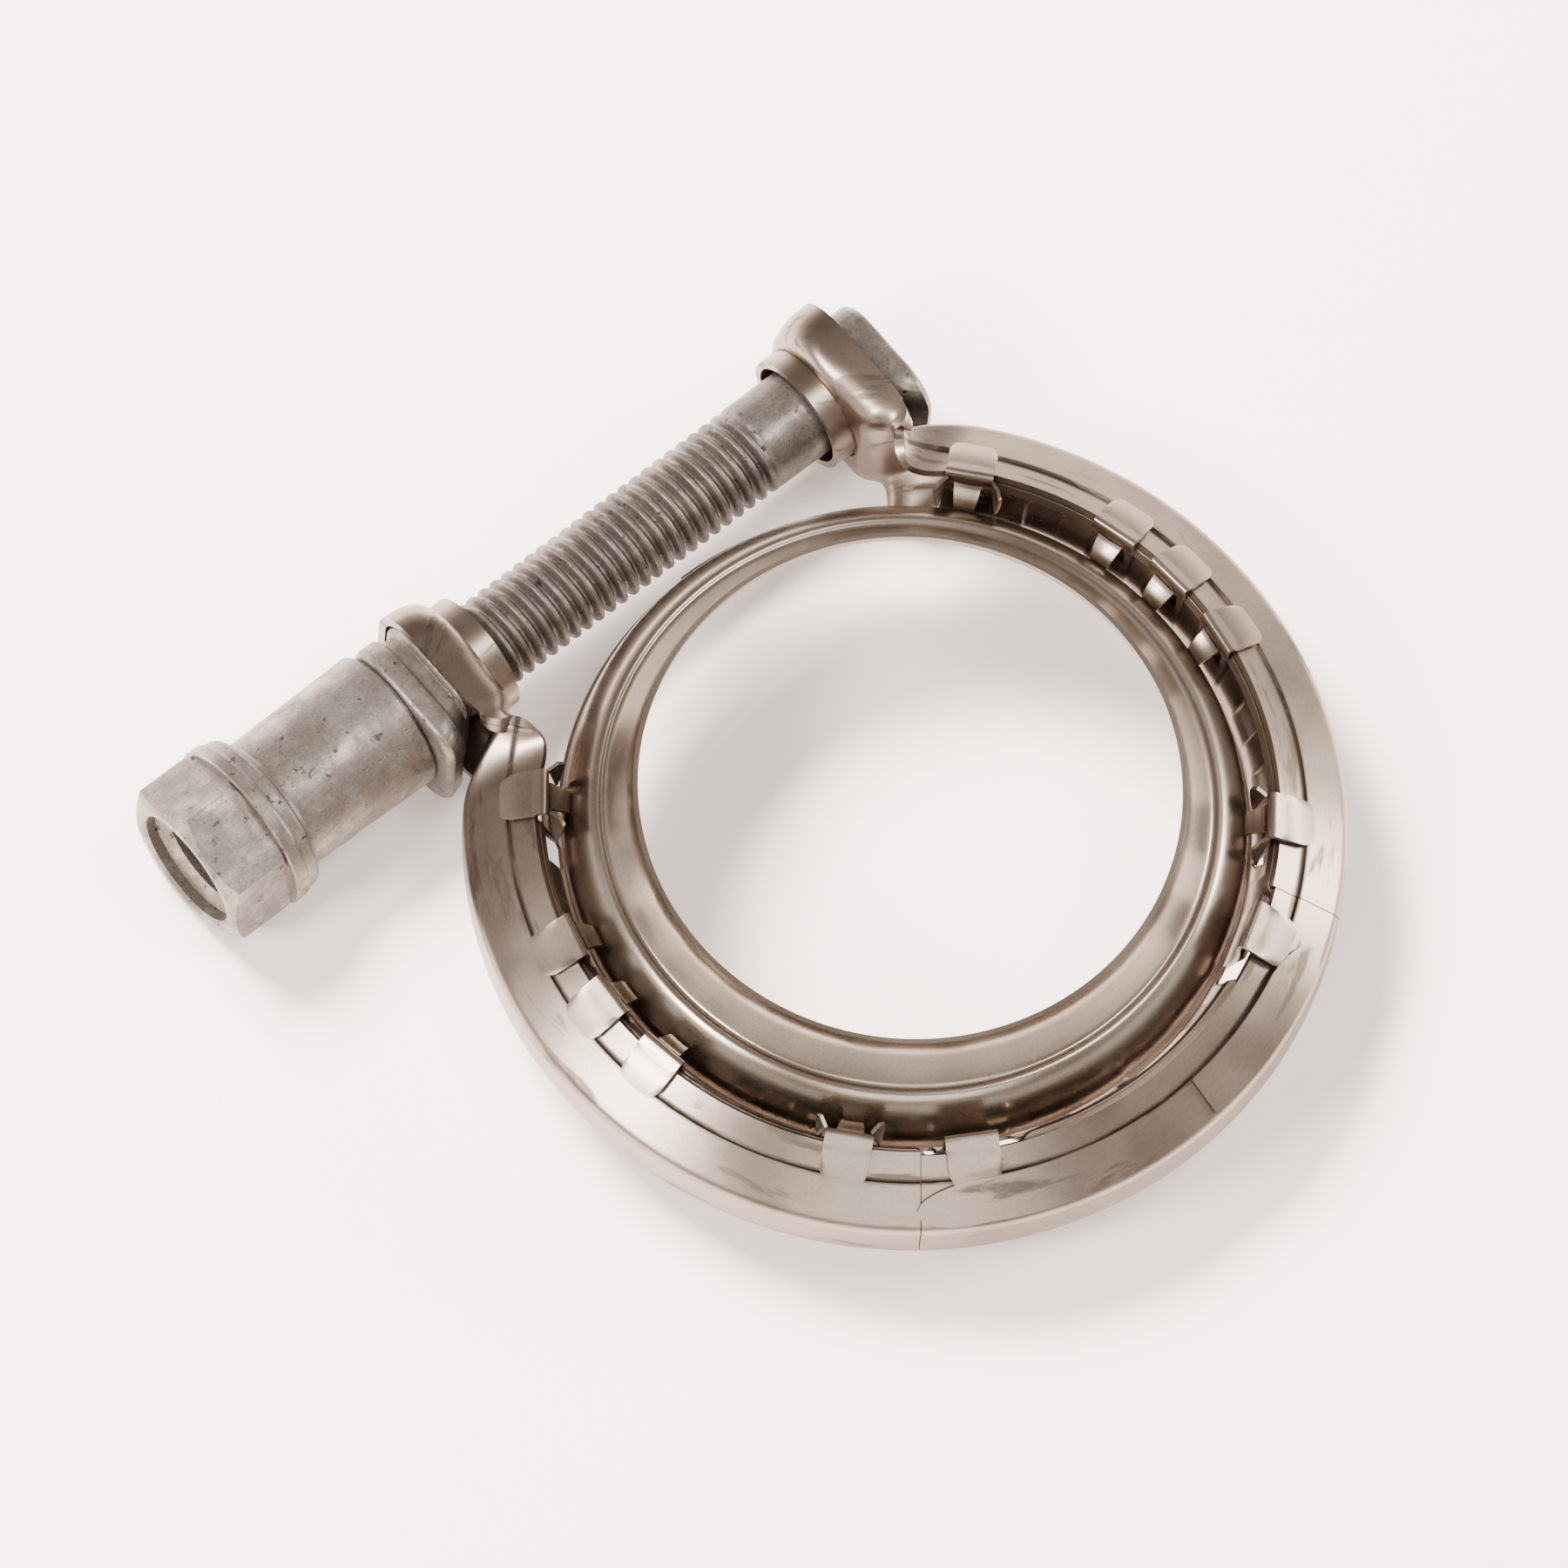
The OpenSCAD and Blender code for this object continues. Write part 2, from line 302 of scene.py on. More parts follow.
def about_bolt(x: Array, radius: Array, angle: Array, axis_y: float) -> Array:
    """Points along X at a radius about the bolt's axis, with the angle from +Y towards +Z."""
    x, radius, angle = np.broadcast_arrays(x, radius, angle)
    return np.stack([x, axis_y + radius * np.cos(angle), radius * np.sin(angle)], axis=-1)


def along_x(x: Array, loop: Array) -> Array:
    """Sets each row of Y and Z values at its own X, as rows x columns x 3 points."""
    return np.concatenate([np.broadcast_to(x[:, None, None], (*loop.shape[:2], 1)), loop], axis=2)


def rounded_loop(
    low: Array, high: Array, half: Array, low_r: Array, high_r: Array,
    per_corner: int
) -> Array:
    """Rounded rectangle in Y and Z for each row: a quarter circle at each corner, joined by straights.

    Args:
        low, high: rows values of the ends along Y.
        half: rows values of half the width along Z.
        low_r, high_r: rows values of the corner radii at the two ends.
        per_corner: points on each corner.

    Returns:
        rows x (4 per_corner + 1) x 2 values of Y and Z; the last point repeats the first.
    """
    quarter = np.linspace(0, math.pi / 2, per_corner)
    low, high, half, low_r, high_r = (
        np.asarray(v, float)[:, None] for v in (low, high, half, low_r, high_r)
    )
    corners = [
        (high - high_r, half - high_r, high_r, quarter),
        (low + low_r, half - low_r, low_r, quarter + math.pi / 2),
        (low + low_r, -half + low_r, low_r, quarter + math.pi),
        (high - high_r, -half + high_r, high_r, quarter + 1.5 * math.pi),
    ]
    parts = [np.stack([cy + r * np.cos(a), cz + r * np.sin(a)], axis=-1) for cy, cz, r, a in corners]
    loop = np.concatenate(parts, axis=1)
    return np.concatenate([loop, loop[:, :1]], axis=1)


def linked(name: str, data: bpy.types.ID) -> bpy.types.Object:
    """Makes an object of the data and links it to the scene.

    Args:
        name: the object's name.
        data: its mesh, camera or light.

    Returns:
        The object.
    """
    made = bpy.data.objects.new(name, data)
    bpy.context.scene.collection.objects.link(made)
    return made


def write_piece(
    name: str, surface: Surface, material: Material, sharp_deg: float = 38, bevel: float = 0.0
) -> bpy.types.Object:
    """Writes a surface as a Blender object at the origin, in metres, smooth with sharp folds.

    Args:
        name: the object's name.
        surface: points in mm and faces.
        material: its finish.
        sharp_deg: folds steeper than this stay sharp.
        bevel: width in mm of the worn edge put on sharp folds; none if 0.

    Returns:
        The new object, with its bevel already part of the mesh.
    """
    points, faces = outward(welded(surface))
    rings = sorted((list(dict.fromkeys(face)) for face in faces.tolist()), key=len, reverse=True)
    mesh = bpy.data.meshes.new(name)
    mesh.from_pydata((points * MM).tolist(), [], rings)
    mesh.validate()
    mesh.shade_smooth()
    mesh.set_sharp_from_angle(angle=math.radians(sharp_deg))
    mesh.materials.append(material)
    piece = linked(name, mesh)
    if bevel:
        edge = piece.modifiers.new("worn_edge", "BEVEL")
        edge.width = bevel * MM
        edge.segments = 2
        edge.limit_method = "ANGLE"
        edge.angle_limit = math.radians(50)
        edge.harden_normals = True
        graph = bpy.context.evaluated_depsgraph_get()
        final = bpy.data.meshes.new_from_object(piece.evaluated_get(graph))
        piece.modifiers.clear()
        piece.data = final
        bpy.data.meshes.remove(mesh)
        final.name = name
    return piece


def settle(piece: bpy.types.Object, slot: str, body: str, *nodes: str, bend: tuple | None = None) -> None:
    """Puts a piece on its body unless bend is given, when its transform is baked instead; hides its CAD
    nodes, and reports it.

    Args:
        piece: the finished piece.
        slot: what it is made of; not used.
        body: the body it rides on; used only when bend is None.
        nodes: CAD nodes it replaces.
        bend: points in mm where the bend from the root to the body starts and ends; only checked against
            None: if given, the piece's transform is baked and it goes on no body.
    """
    if bend is None:
        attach(piece, body)
    else:
        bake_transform(piece)
    if nodes:
        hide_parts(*nodes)
    low, high = np.array(piece.bound_box).min(axis=0) / MM, np.array(piece.bound_box).max(axis=0) / MM
    past = "own detail"
    if nodes:
        cad_low, cad_high = (np.array(corner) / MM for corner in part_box(nodes[0]))
        past = f"{max((cad_low - low).max(), (high - cad_high).max()):+.2f} mm past its node's box"
    log.info("%-20s %-10s %6d faces, %s", piece.name, body, len(piece.data.polygons), past)


# ---------------------------------------------------------------- finishes


def linear(code: str) -> tuple[float, float, float, float]:
    """Turns an sRGB hex colour to linear values, with alpha 1.

    Args:
        code: six hex digits, with or without #.

    Returns:
        Linear red, green, blue and alpha.
    """
    code = code.lstrip("#")
    channels = [int(code[k : k + 2], 16) / 255 for k in (0, 2, 4)]
    red, green, blue = (c / 12.92 if c <= 0.04045 else ((c + 0.055) / 1.055) ** 2.4 for c in channels)
    return red, green, blue, 1.0


NOISE_INPUTS = ("Vector", "Scale", "Detail", "Roughness", "Distortion")


def add_node(
    tree: bpy.types.NodeTree,
    kind: str,
    inputs: dict | tuple = (),
    output: int | str = 0,
    **settings: object,
) -> bpy.types.NodeSocket:
    """Adds a node, sets its properties and fills its inputs.

    Args:
        tree: the node tree.
        kind: the node's type name after its ShaderNode prefix.
        inputs: a value or the socket that feeds it, by input name or number, or in the inputs' order.
        output: name or number of the output wanted.
        settings: the node's own properties.

    Returns:
        The output socket.
    """
    made = tree.nodes.new("ShaderNode" + kind)
    for key, value in settings.items():
        setattr(made, key, value)
    for key, value in inputs.items() if isinstance(inputs, dict) else enumerate(inputs):
        if isinstance(value, bpy.types.NodeSocket):
            tree.links.new(value, made.inputs[key])
        else:
            made.inputs[key].default_value = value
    return made.outputs[output]


def new_material(name: str) -> tuple[bpy.types.Material, bpy.types.NodeTree, bpy.types.Node]:
    """Makes an empty metal: its material, tree and Principled shader.

    Args:
        name: the material's name.

    Returns:
        The material, its node tree and its shader.
    """
    material = bpy.data.materials.new(name)
    material.use_nodes = True
    tree = material.node_tree
    shader = tree.nodes["Principled BSDF"]
    shader.inputs["Metallic"].default_value = 1.0
    return material, tree, shader


@dataclass(frozen=True)
class RolledSteel:
    """Rolled austenitic stainless sheet, pressed to shape: warm grey, with fine lines from rolling.

    The rolling and tool lines give a soft streaked gloss, handling leaves a few fine scratches in all
    directions, and oil leaves darker brown smudges drawn out along the band. Along a step's radius a darker
    patchy band is also painted: painted shade in the step, mixed with dirt held there.
    """

    name: str
    clean: str
    worn: str
    # colour of the smudges, and of the painted shade along the step
    stained: str
    roughness: float = 0.27
    line_mm: float = 0.12  # spacing of rolling lines, drawn coarser than the real 0.03 mm so that they show
    # the pickled surface's grain, drawn coarser than the real 0.05 mm so that it shows
    grain_mm: float = 0.3
    patch_mm: float = 9.0  # width of lighter and darker areas
    smudge_mm: float = 1.9  # width of a smudge; it is five times as long
    scratch_mm: float = 2.4  # spacing between scratches
    line_depth_um: float = 1.2
    grain_depth_um: float = 0.8
    dent_um: float = 60.0
    smudge_share: float = 0.6
    scratch_share: float = 0.6
    step_r_mm: float = 0.0  # radius of a step along which painted shade, patchy like dirt, darkens the colour; none if 0
    line_turn_m: float = 1.1e-3  # length that one radian counts as in the lines, far below the real radius
    smudge_turn_m: float = 7e-3  # the same for smudges

    def build(self) -> Material:
        """Makes the material; its lines and smudges follow circles about Z.

        Returns:
            The material, whose patterns are read at (radius, height, angle times a mean radius).
        """
        material, tree, shader = new_material(self.name)
        node = partial(add_node, tree)
        at = node("TexCoord", output="Object")
        x, y, z = node("SeparateXYZ", (at,)).node.outputs
        radius = node("VectorMath", (node("CombineXYZ", (x, y)),), 1, operation="LENGTH")
        back = node("Math", (y, -1.0), operation="MULTIPLY")
        angle = node("Math", (x, back), operation="ARCTAN2")
        turned, drawn = (
            node("CombineXYZ", (radius, z, node("Math", (angle, mean_r), operation="MULTIPLY")))
            for mean_r in (self.line_turn_m, self.smudge_turn_m)
        )
        lines, grain, area, smudge = (
            node("TexNoise", dict(zip(NOISE_INPUTS, (where, 1 / (size * MM), *rest))))
            for where, size, *rest in (
                (turned, self.line_mm, 3.0, 0.6), (at, self.grain_mm, 2.0, 0.6),
                (at, self.patch_mm, 2.0, 0.5), (drawn, self.smudge_mm, 5.0, 0.6, 0.4),
            )
        )
        crossed = None
        for turn, stretch in ((0.5, 26.0), (1.45, 34.0), (2.5, 22.0)):
            stretched = {0: at, "Rotation": (0.35, 0.2, turn), "Scale": (1.0, 1.0 / stretch, 1.0)}
            laid = node("Mapping", stretched)
            spread = {"Vector": laid, "Scale": 1 / (self.scratch_mm * MM), "Detail": 0.0, "Roughness": 0.4}
            hair = node("TexNoise", spread)
            level = node("Math", (hair, 0.5), operation="SUBTRACT")
            width = node("Math", (level,), operation="ABSOLUTE")
            mark = node("MapRange", (width, 0.0, 0.006, self.scratch_share, 0.0))
            crossed = mark if crossed is None else node("Math", (crossed, mark), operation="MAXIMUM")
        here = node("MapRange", (smudge, 0.5, 0.62))
        scratch = node("Math", (crossed, here), operation="MULTIPLY")
        dirt = node("MapRange", (smudge, 0.58, 0.65, 0.0, self.smudge_share))
        # painted shade: darkens and dulls a band along the step's radius, patchy by the smudge noise; it
        # stands for shade in the step as well as dirt caught there
        if self.step_r_mm:
            off = node("Math", (radius, self.step_r_mm * MM), operation="SUBTRACT")
            away = node("Math", (off,), operation="ABSOLUTE")
            near = node("MapRange", (away, 0.14 * MM, 0.40 * MM, 0.9, 0.0))
            held = node("MapRange", (smudge, 0.32, 0.5))
            caught = node("Math", (near, held), operation="MULTIPLY")
            dirt = node("Math", (dirt, caught), operation="MAXIMUM")
        wear = node("MapRange", (area, 0.35, 0.65))
        tone = node("Mix", {0: wear, 6: linear(self.clean), 7: linear(self.worn)}, 2, data_type="RGBA")
        # the stain-and-shade colour goes in at the smudges and at the painted step shade
        soiled = node("Mix", {0: dirt, 6: tone, 7: linear(self.stained)}, 2, data_type="RGBA")
        by_lines = node("MapRange", (lines, 0.3, 0.7, 0.45, 0.55))
        by_grain = node("MapRange", (grain, 0.3, 0.7, 0.43, 0.57))
        haze = node("Math", (by_lines, by_grain), operation="ADD")
        final = node("VectorMath", {0: soiled, "Scale": haze}, operation="SCALE")
        tree.links.new(final, shader.inputs["Base Color"])
        gloss = node("MapRange", (area, 0.3, 0.7, self.roughness - 0.03, self.roughness + 0.05))
        dull = node("Math", (dirt, 0.16, gloss), operation="MULTIPLY_ADD")
        rubbed = node("Math", (scratch, 0.10, dull), operation="MULTIPLY_ADD")
        tree.links.new(rubbed, shader.inputs["Roughness"])
        depths = (lines, self.line_depth_um), (
            grain, self.grain_depth_um
        ), (area, self.dent_um), (scratch, -4.0)
        bump = {}
        for height, depth_um in depths:
            bump |= {"Strength": 1.0, "Distance": abs(depth_um) * 1e-6, "Height": height}
            bump["Normal"] = node("Bump", bump, invert=depth_um < 0)
        tree.links.new(bump["Normal"], shader.inputs["Normal"])
        return material


@dataclass(frozen=True)
class ZincFlakeCoat:
    """Zinc-flake coating, dipped, spun and baked on steel: dull silver grey with fine grit.

    The flakes lie every way, so it has a broad soft gloss, small dark pits and rubbed bright spots.
    """

    name: str
    base: str
    rubbed: str
    soiled: str
    grit_mm: float = 0.3  # size of the coat's grit, drawn coarser than the real 0.1 mm so that it shows
    patch_mm: float = 2.6  # size of rubbed patches
    pit_mm: float = 0.9  # spacing of pits and specks
    roughness: float = 0.42
    grit_depth_um: float = 16.0
    pit_depth_um: float = 50.0

    def build(self) -> Material:
        """Makes the material from three noises: grit for bump, patches for tone, rare specks for soil.

        Returns:
            The material.
        """
        material, tree, shader = new_material(self.name)
        node = partial(add_node, tree)
        shader.inputs["Metallic"].default_value = 0.85
        at = node("TexCoord", output="Object")
        grit, blotch, speck = (
            node("TexNoise", dict(zip(NOISE_INPUTS, (at, 1 / (size * MM), detail, rough))))
            for size, detail, rough in (
                (self.grit_mm, 3.0, 0.75), (self.patch_mm, 6.0, 0.7), (self.pit_mm, 4.0, 0.6)
            )
        )
        light = node("MapRange", (blotch, 0.46, 0.66, 0.0, 0.8))
        shade = node("MapRange", (grit, 0.3, 0.7, 0.76, 1.24))
        dark = node("MapRange", (speck, 0.62, 0.69, 0.0, 0.8))
        tone = node("Mix", {0: light, 6: linear(self.base), 7: linear(self.rubbed)}, 2, data_type="RGBA")
        soil = node("Mix", {0: dark, 6: tone, 7: linear(self.soiled)}, 2, data_type="RGBA")
        final = node("VectorMath", {0: soil, "Scale": shade}, operation="SCALE")
        tree.links.new(final, shader.inputs["Base Color"])
        gloss = node("MapRange", (blotch, 0.35, 0.65, self.roughness + 0.08, self.roughness - 0.08))
        tree.links.new(gloss, shader.inputs["Roughness"])
        fine = node("Bump", {"Strength": 1.0, "Distance": self.grit_depth_um * 1e-6, "Height": grit})
        sunk = {"Strength": 1.0, "Distance": self.pit_depth_um * 1e-6, "Height": dark, "Normal": fine}
        tree.links.new(node("Bump", sunk, invert=True), shader.inputs["Normal"])
        return material


@dataclass
class Finishes:
    """All the finishes, each made once and shared."""

    band: Material
    liner: Material
    seal: Material
    clip: Material
    bolt: Material
    washer: Material
    nut: Material

    @classmethod
    def made(cls) -> "Finishes":
        """Builds each finish.

        Returns:
            The set of finished materials.
        """
        seal = {
            "roughness": 0.28, "line_mm": 0.16, "patch_mm": 16.0, "line_depth_um": 0.9,
            "grain_depth_um": 0.2
        }
        seal |= {"dent_um": 20.0, "smudge_share": 0.15, "scratch_share": 0.1}
        clip = {
            "roughness": 0.30, "grain_depth_um": 0.6, "dent_um": 20.0, "smudge_share": 0.3,
            "scratch_share": 0.3
        }
        looks = (
            # the band's step at r 32.88 mm gets painted shade
            RolledSteel(
                "stainless_band_sheet", "#86796E", "#9A8B7F", "#3C332B", roughness=0.31, step_r_mm=32.88
            ),
            RolledSteel("stainless_liner_sheet", "#85776C", "#96877A", "#3E352D", roughness=0.30),
            RolledSteel("stainless_seal_sheet", "#9A8C7F", "#AB9E92", "#66594C", **seal),
            RolledSteel("spring_steel_strip", "#8E8175", "#9E8F83", "#55493F", **clip),
            ZincFlakeCoat("zinc_flake_coat_bolt", "#68605A", "#8C837B", "#2E2822"),
            ZincFlakeCoat("zinc_flake_coat_washer", "#6E655E", "#938980", "#332C26"),
            ZincFlakeCoat("zinc_flake_coat_nut", "#736A63", "#978D85", "#332C26"),
        )
        return cls(*(look.build() for look in looks))


# ---------------------------------------------------------------- pieces


FOLD = 0.62  # how far from a fold's sharp corner its rounding starts, in mm


@dataclass
class Sheet:
    """Sizes that all the V sheets share, in mm and degrees."""

    slope: float = math.tan(math.radians(33.0))
    thickness: float = 0.8
    step_r: float = 33.0
    step_z: float = 0.27
    step_run: float = 0.2
    step_share: float = 1.06  # a little over 1, so that the inner face stays clear of the liner
    leg_columns: int = 26

    def section(
        self, web_r: float, half: float, end_r: Array, angle: Array, fold: float = FOLD
    ) -> Array:
        """V section at each angle: web, rounded corner, leg sloping inwards at 33 degrees; its upper half.

        Args:
            web_r: outer radius of the web.
            half: half the web's width up to its sharp corner.
            end_r: radius where the leg ends, at each angle.
            angle: where the sections stand about Z, in radians.
            fold: how far from the sharp corner the rounding starts.

        Returns:
            angles x columns x 3 points from the middle of the web to the leg's end.
        """
        end_r = np.broadcast_to(np.asarray(end_r, float), angle.shape)
        start = about_z(np.float64(web_r), np.float64(0), angle)
        corner = about_z(np.float64(web_r), np.float64(half), angle)
        end = about_z(end_r, half + (web_r - end_r) * self.slope, angle)
        return corner_curve(start, corner, end, np.full(angle.shape, fold), (3, 6, self.leg_columns))

    def stepped(self, grid: Array, share: Array) -> tuple[Array, Array]:
        """Lowers a leg by a small step inside its step radius: z falls by step_z over step_run.

        Args:
            grid: rows x columns x 3 points of an upper half.
            share: how much of the step each row has, 0 to 1.

        Returns:
            The points with the step, and the sheet's thickness left at each point.
        """
        radius = np.hypot(grid[..., 0], grid[..., 1])
        inside = np.clip((self.step_r - radius) / self.step_run, 0, 1) * share[:, None]
        lowered = grid.copy()
        lowered[..., 2] -= self.step_z * inside
        left = self.thickness - self.step_share * self.step_z * inside * math.cos(math.atan(self.slope))
        return lowered, left

    def both_legs(self, upper: Array) -> Surface:
        """An upper half section and its mirror image below, welded along the web's middle."""
        half = patch(upper)
        return joined(half, mirrored(half, 2))


def rounded_ends(angle: Array, end_r: float, corner: float) -> Array:
    """Leg end radius that grows within a corner radius of both ends, as a quarter circle: rounded corners.

    Args:
        angle: the sections' angles in radians.
        end_r: the leg's end radius away from the corners.
        corner: radius of each rounded corner.

    Returns:
        The end radius at each angle.
    """
    away = np.minimum(angle - angle[0], angle[-1] - angle) * end_r
    gap = np.clip(corner - away, 0, corner)
    return end_r + corner - np.sqrt(corner**2 - gap**2)


@dataclass
class BandHalf:
    """One outer half shell with its ear, as one sheet: V band, twisted foot, oblong cup, drawn collar."""

    side: Side
    sheet: Sheet
    band_r: float = 36.5
    web_half: float = 2.1
    end_r: float = 30.75
    first_deg: float = -52.0
    last_deg: float = 41.0
    wall_x: float = 19.8
    cup_edge_x: float = 22.8
    cup_half: float = 6.4
    cup_top_y: float = 39.9
    cup_corner: float = 3.6
    shoulder: float = 2.4
    shoulder_after: float = 2.9
    cup_thickness: float = 0.62
    bolt_y: float = 34.5
    collar_r: float = 4.7
    collar_x: float = 17.1
    flare: float = 0.65
    foot_y: float = 29.0
    foot_pull: Keys = ((25.8, 25.96), (19.8, 27.6))
    edge_keys: Keys = (
        (21.5, 21.5, 5.6), (20.35, 22.45, 5.7), (19.75, 23.4, 5.9), (20.05, 24.5, 6.1), (20.8, 25.45, 6.3),
        (21.85, 26.6, 6.4), (22.6, 27.7, 6.4),
    )

    def foot(self, rows: int) -> tuple[Array, ...]:
        """Where the sheet turns from the band into the ear.

        The web's middle runs along a cubic Bezier from the circle to the wall. The leg's edge runs along
        a spline that follows the circle further, then turns out in an S to the cup's edge.

        Args:
            rows: number of sections.

        Returns:
            Start, corner and end points, and the rounding's cut, of each section.
        """
        t = np.linspace(0, 1, rows)[:, None]
        turn = math.radians(self.last_deg)
        p0 = np.array([self.band_r * math.cos(turn), self.band_r * math.sin(turn)])
        p1, p2, p3 = map(np.array, (*self.foot_pull, (self.wall_x, self.foot_y)))
        web = p0 * (1 - t) ** 3 + 3 * p1 * t * (1 - t) ** 2 + 3 * p2 * t**2 * (1 - t) + p3 * t**3
        lip_z = self.web_half + (self.band_r - self.end_r) * self.sheet.slope
        first = (self.end_r * math.cos(turn), self.end_r * math.sin(turn), lip_z)
        edge = through([first, *self.edge_keys, (self.cup_edge_x, self.foot_y, self.cup_half)], rows)
        ease = eased(t[:, 0])
        corner_z = self.web_half + (self.cup_half - self.web_half) * ease
        start = np.column_stack([web, np.zeros(rows)])
        corner = np.column_stack([web, corner_z])
        return start, corner, edge, FOLD + (self.shoulder - FOLD) * ease

    def cup(self, rows: int) -> tuple[Array, ...]:
        """The ear's cup: sections fan round the bolt hole while their outer ends follow the oblong outline.

        Args:
            rows: number of sections over half the outline.

        Returns:
            Start, corner and end points, the rounding's cut, and the angle about the hole of each section.
        """
        around = np.linspace(0, math.pi, rows)
        ring = self.collar_r + self.flare
        start = np.column_stack(
            [np.full(rows, self.wall_x), self.bolt_y - ring * np.cos(around), ring * np.sin(around)]
        )
        straight = self.cup_top_y - self.cup_corner - self.foot_y
        arc = self.cup_corner * math.pi / 2
        run = np.linspace(0, straight + arc + self.cup_half - self.cup_corner, rows)
        turn = np.clip((run - straight) / self.cup_corner, 0, math.pi / 2)
        y = self.foot_y + np.minimum(run, straight) + self.cup_corner * np.sin(turn)
        z = self.cup_half - self.cup_corner * (1 - np.cos(turn)) - np.clip(run - straight - arc, 0, None)
        corner = np.column_stack([np.full(rows, self.wall_x), y, z])
        end = corner + [self.cup_edge_x - self.wall_x, 0, 0]
        room = np.linalg.norm(corner - start, axis=1)
        return start, corner, end, np.minimum(self.shoulder, 0.94 * room), around

    def collar(self, around: Array, columns: int) -> Array:
        """Drawn collar: a straight bore from its mouth, then a quarter circle out into the ear's wall.

        Args:
            around: the sections' angles about the bolt hole, in radians.
            columns: points along the straight bore.

        Returns:
            angles x (columns + 6) x 3 points from the mouth to the wall.
        """
        bore = np.linspace(self.collar_x, self.wall_x - self.flare, columns, endpoint=False)
        bend = np.linspace(0, math.pi / 2, 6, endpoint=False)
        x = np.concatenate([bore, self.wall_x - self.flare + self.flare * np.sin(bend)])
        radius = self.collar_r + np.concatenate([np.zeros(columns), self.flare * (1 - np.cos(bend))])
        y, z = self.bolt_y - radius * np.cos(around)[:, None], radius * np.sin(around)[:, None]
        return np.stack([np.broadcast_to(x, y.shape), y, z], axis=-1)

    def surface(self) -> Surface:
        """The half shell's inner and outer faces and rims, as one closed surface.

        Returns:
            A closed surface.
        """
        angle = np.radians(np.linspace(self.first_deg, self.last_deg, 94))
        band = self.sheet.section(self.band_r, self.web_half, np.float64(self.end_r), angle)
        counts = (3, 6, self.sheet.leg_columns)
        foot_rows = 44
        start, corner, end, cut = self.foot(foot_rows)
        late = eased(1.4 * np.linspace(0, 1, foot_rows) - 0.4)
        after = FOLD + (self.shoulder_after - FOLD) * late
        foot = corner_curve(start, corner, end, cut, counts, after)[1:]
        start, corner, end, cut, around = self.cup(72)
        cup = corner_curve(start, corner, end, cut, counts, np.full(len(cut), self.shoulder_after))
        collar = self.collar(around, 7)
        rows = np.concatenate([band, foot, cup])
        fading = eased(1 - 1.6 * np.linspace(0, 1, len(foot)))
        share = np.concatenate([np.ones(len(band)), fading, np.zeros(len(cup))])
        rows, left = self.sheet.stepped(rows, share)
        hidden = np.repeat(rows[:, :1], collar.shape[1], axis=1)
        hidden[-len(cup) :] = collar
        grid = np.concatenate([hidden, rows], axis=1)
        keep = np.ones((grid.shape[0] - 1, grid.shape[1] - 1), bool)
        keep[: -(len(cup) - 1), : collar.shape[1]] = False
        thick = np.full(grid.shape[:2], self.sheet.thickness)
        thick[:, collar.shape[1] :] = left
        thick[-len(cup) :, : collar.shape[1] + 1] = self.cup_thickness
        half = patch(grid, keep)
        whole = joined(half, mirrored(half, 2))
        used = np.unique(whole[1])
        renumber = np.zeros(len(whole[0]), int)
        renumber[used] = np.arange(len(used))
        depth = np.tile(thick.reshape(-1), 2)[used]
        return handed(thickened((whole[0][used], renumber[whole[1]]), depth), self.side)

    def build(self, finish: Material) -> None:
        """Writes the half shell and puts it on its band body."""
        piece = write_piece(f"{self.side.label}_half_shell", self.surface(), finish, bevel=0.09)
        settle(piece, "band_steel", self.side.body, f"{self.side.label}_band_shell")


@dataclass
class Liners:
    """The three inner V segments, with rounded corners on their lips."""

    sheet: Sheet
    web_r: float = 35.68
    half: float = 1.655
    lip_r: float = 30.3
    side_from_deg: float = -53.5
    side_to_deg: float = 38.0
    middle_deg: float = 22.5
    corner: float = 1.3
    fold: float = 0.5
    columns_per_deg: float = 1.5
    bevel: float = 0.08

    def segment(self, first_deg: float, last_deg: float) -> Surface:
        """One segment between two angles about Z, as a closed sheet.

        Args:
            first_deg, last_deg: the segment's ends.

        Returns:
            A closed surface.
        """
        count = int(abs(last_deg - first_deg) * self.columns_per_deg)
        angle = np.radians(np.linspace(first_deg, last_deg, count))
        end_r = rounded_ends(angle, self.lip_r, self.corner)
        upper = self.sheet.section(self.web_r, self.half, end_r, angle, self.fold)
        return thickened(self.sheet.both_legs(upper), self.sheet.thickness)

    def build(self, finish: Material) -> None:
        """Writes the two side segments and the middle one.

        Args:
            finish: its material.
        """
        for side in Side:
            closed = handed(self.segment(self.side_from_deg, self.side_to_deg), side)
            piece = write_piece(f"{side.label}_liner_segment", closed, finish, bevel=self.bevel)
            settle(piece, "liner_steel", side.body, f"{side.label}_liner")
        closed = self.segment(-90 - self.middle_deg, -90 + self.middle_deg)
        piece = write_piece("middle_liner_segment", closed, finish, bevel=self.bevel)
        settle(piece, "liner_steel", "root", "middle_liner")


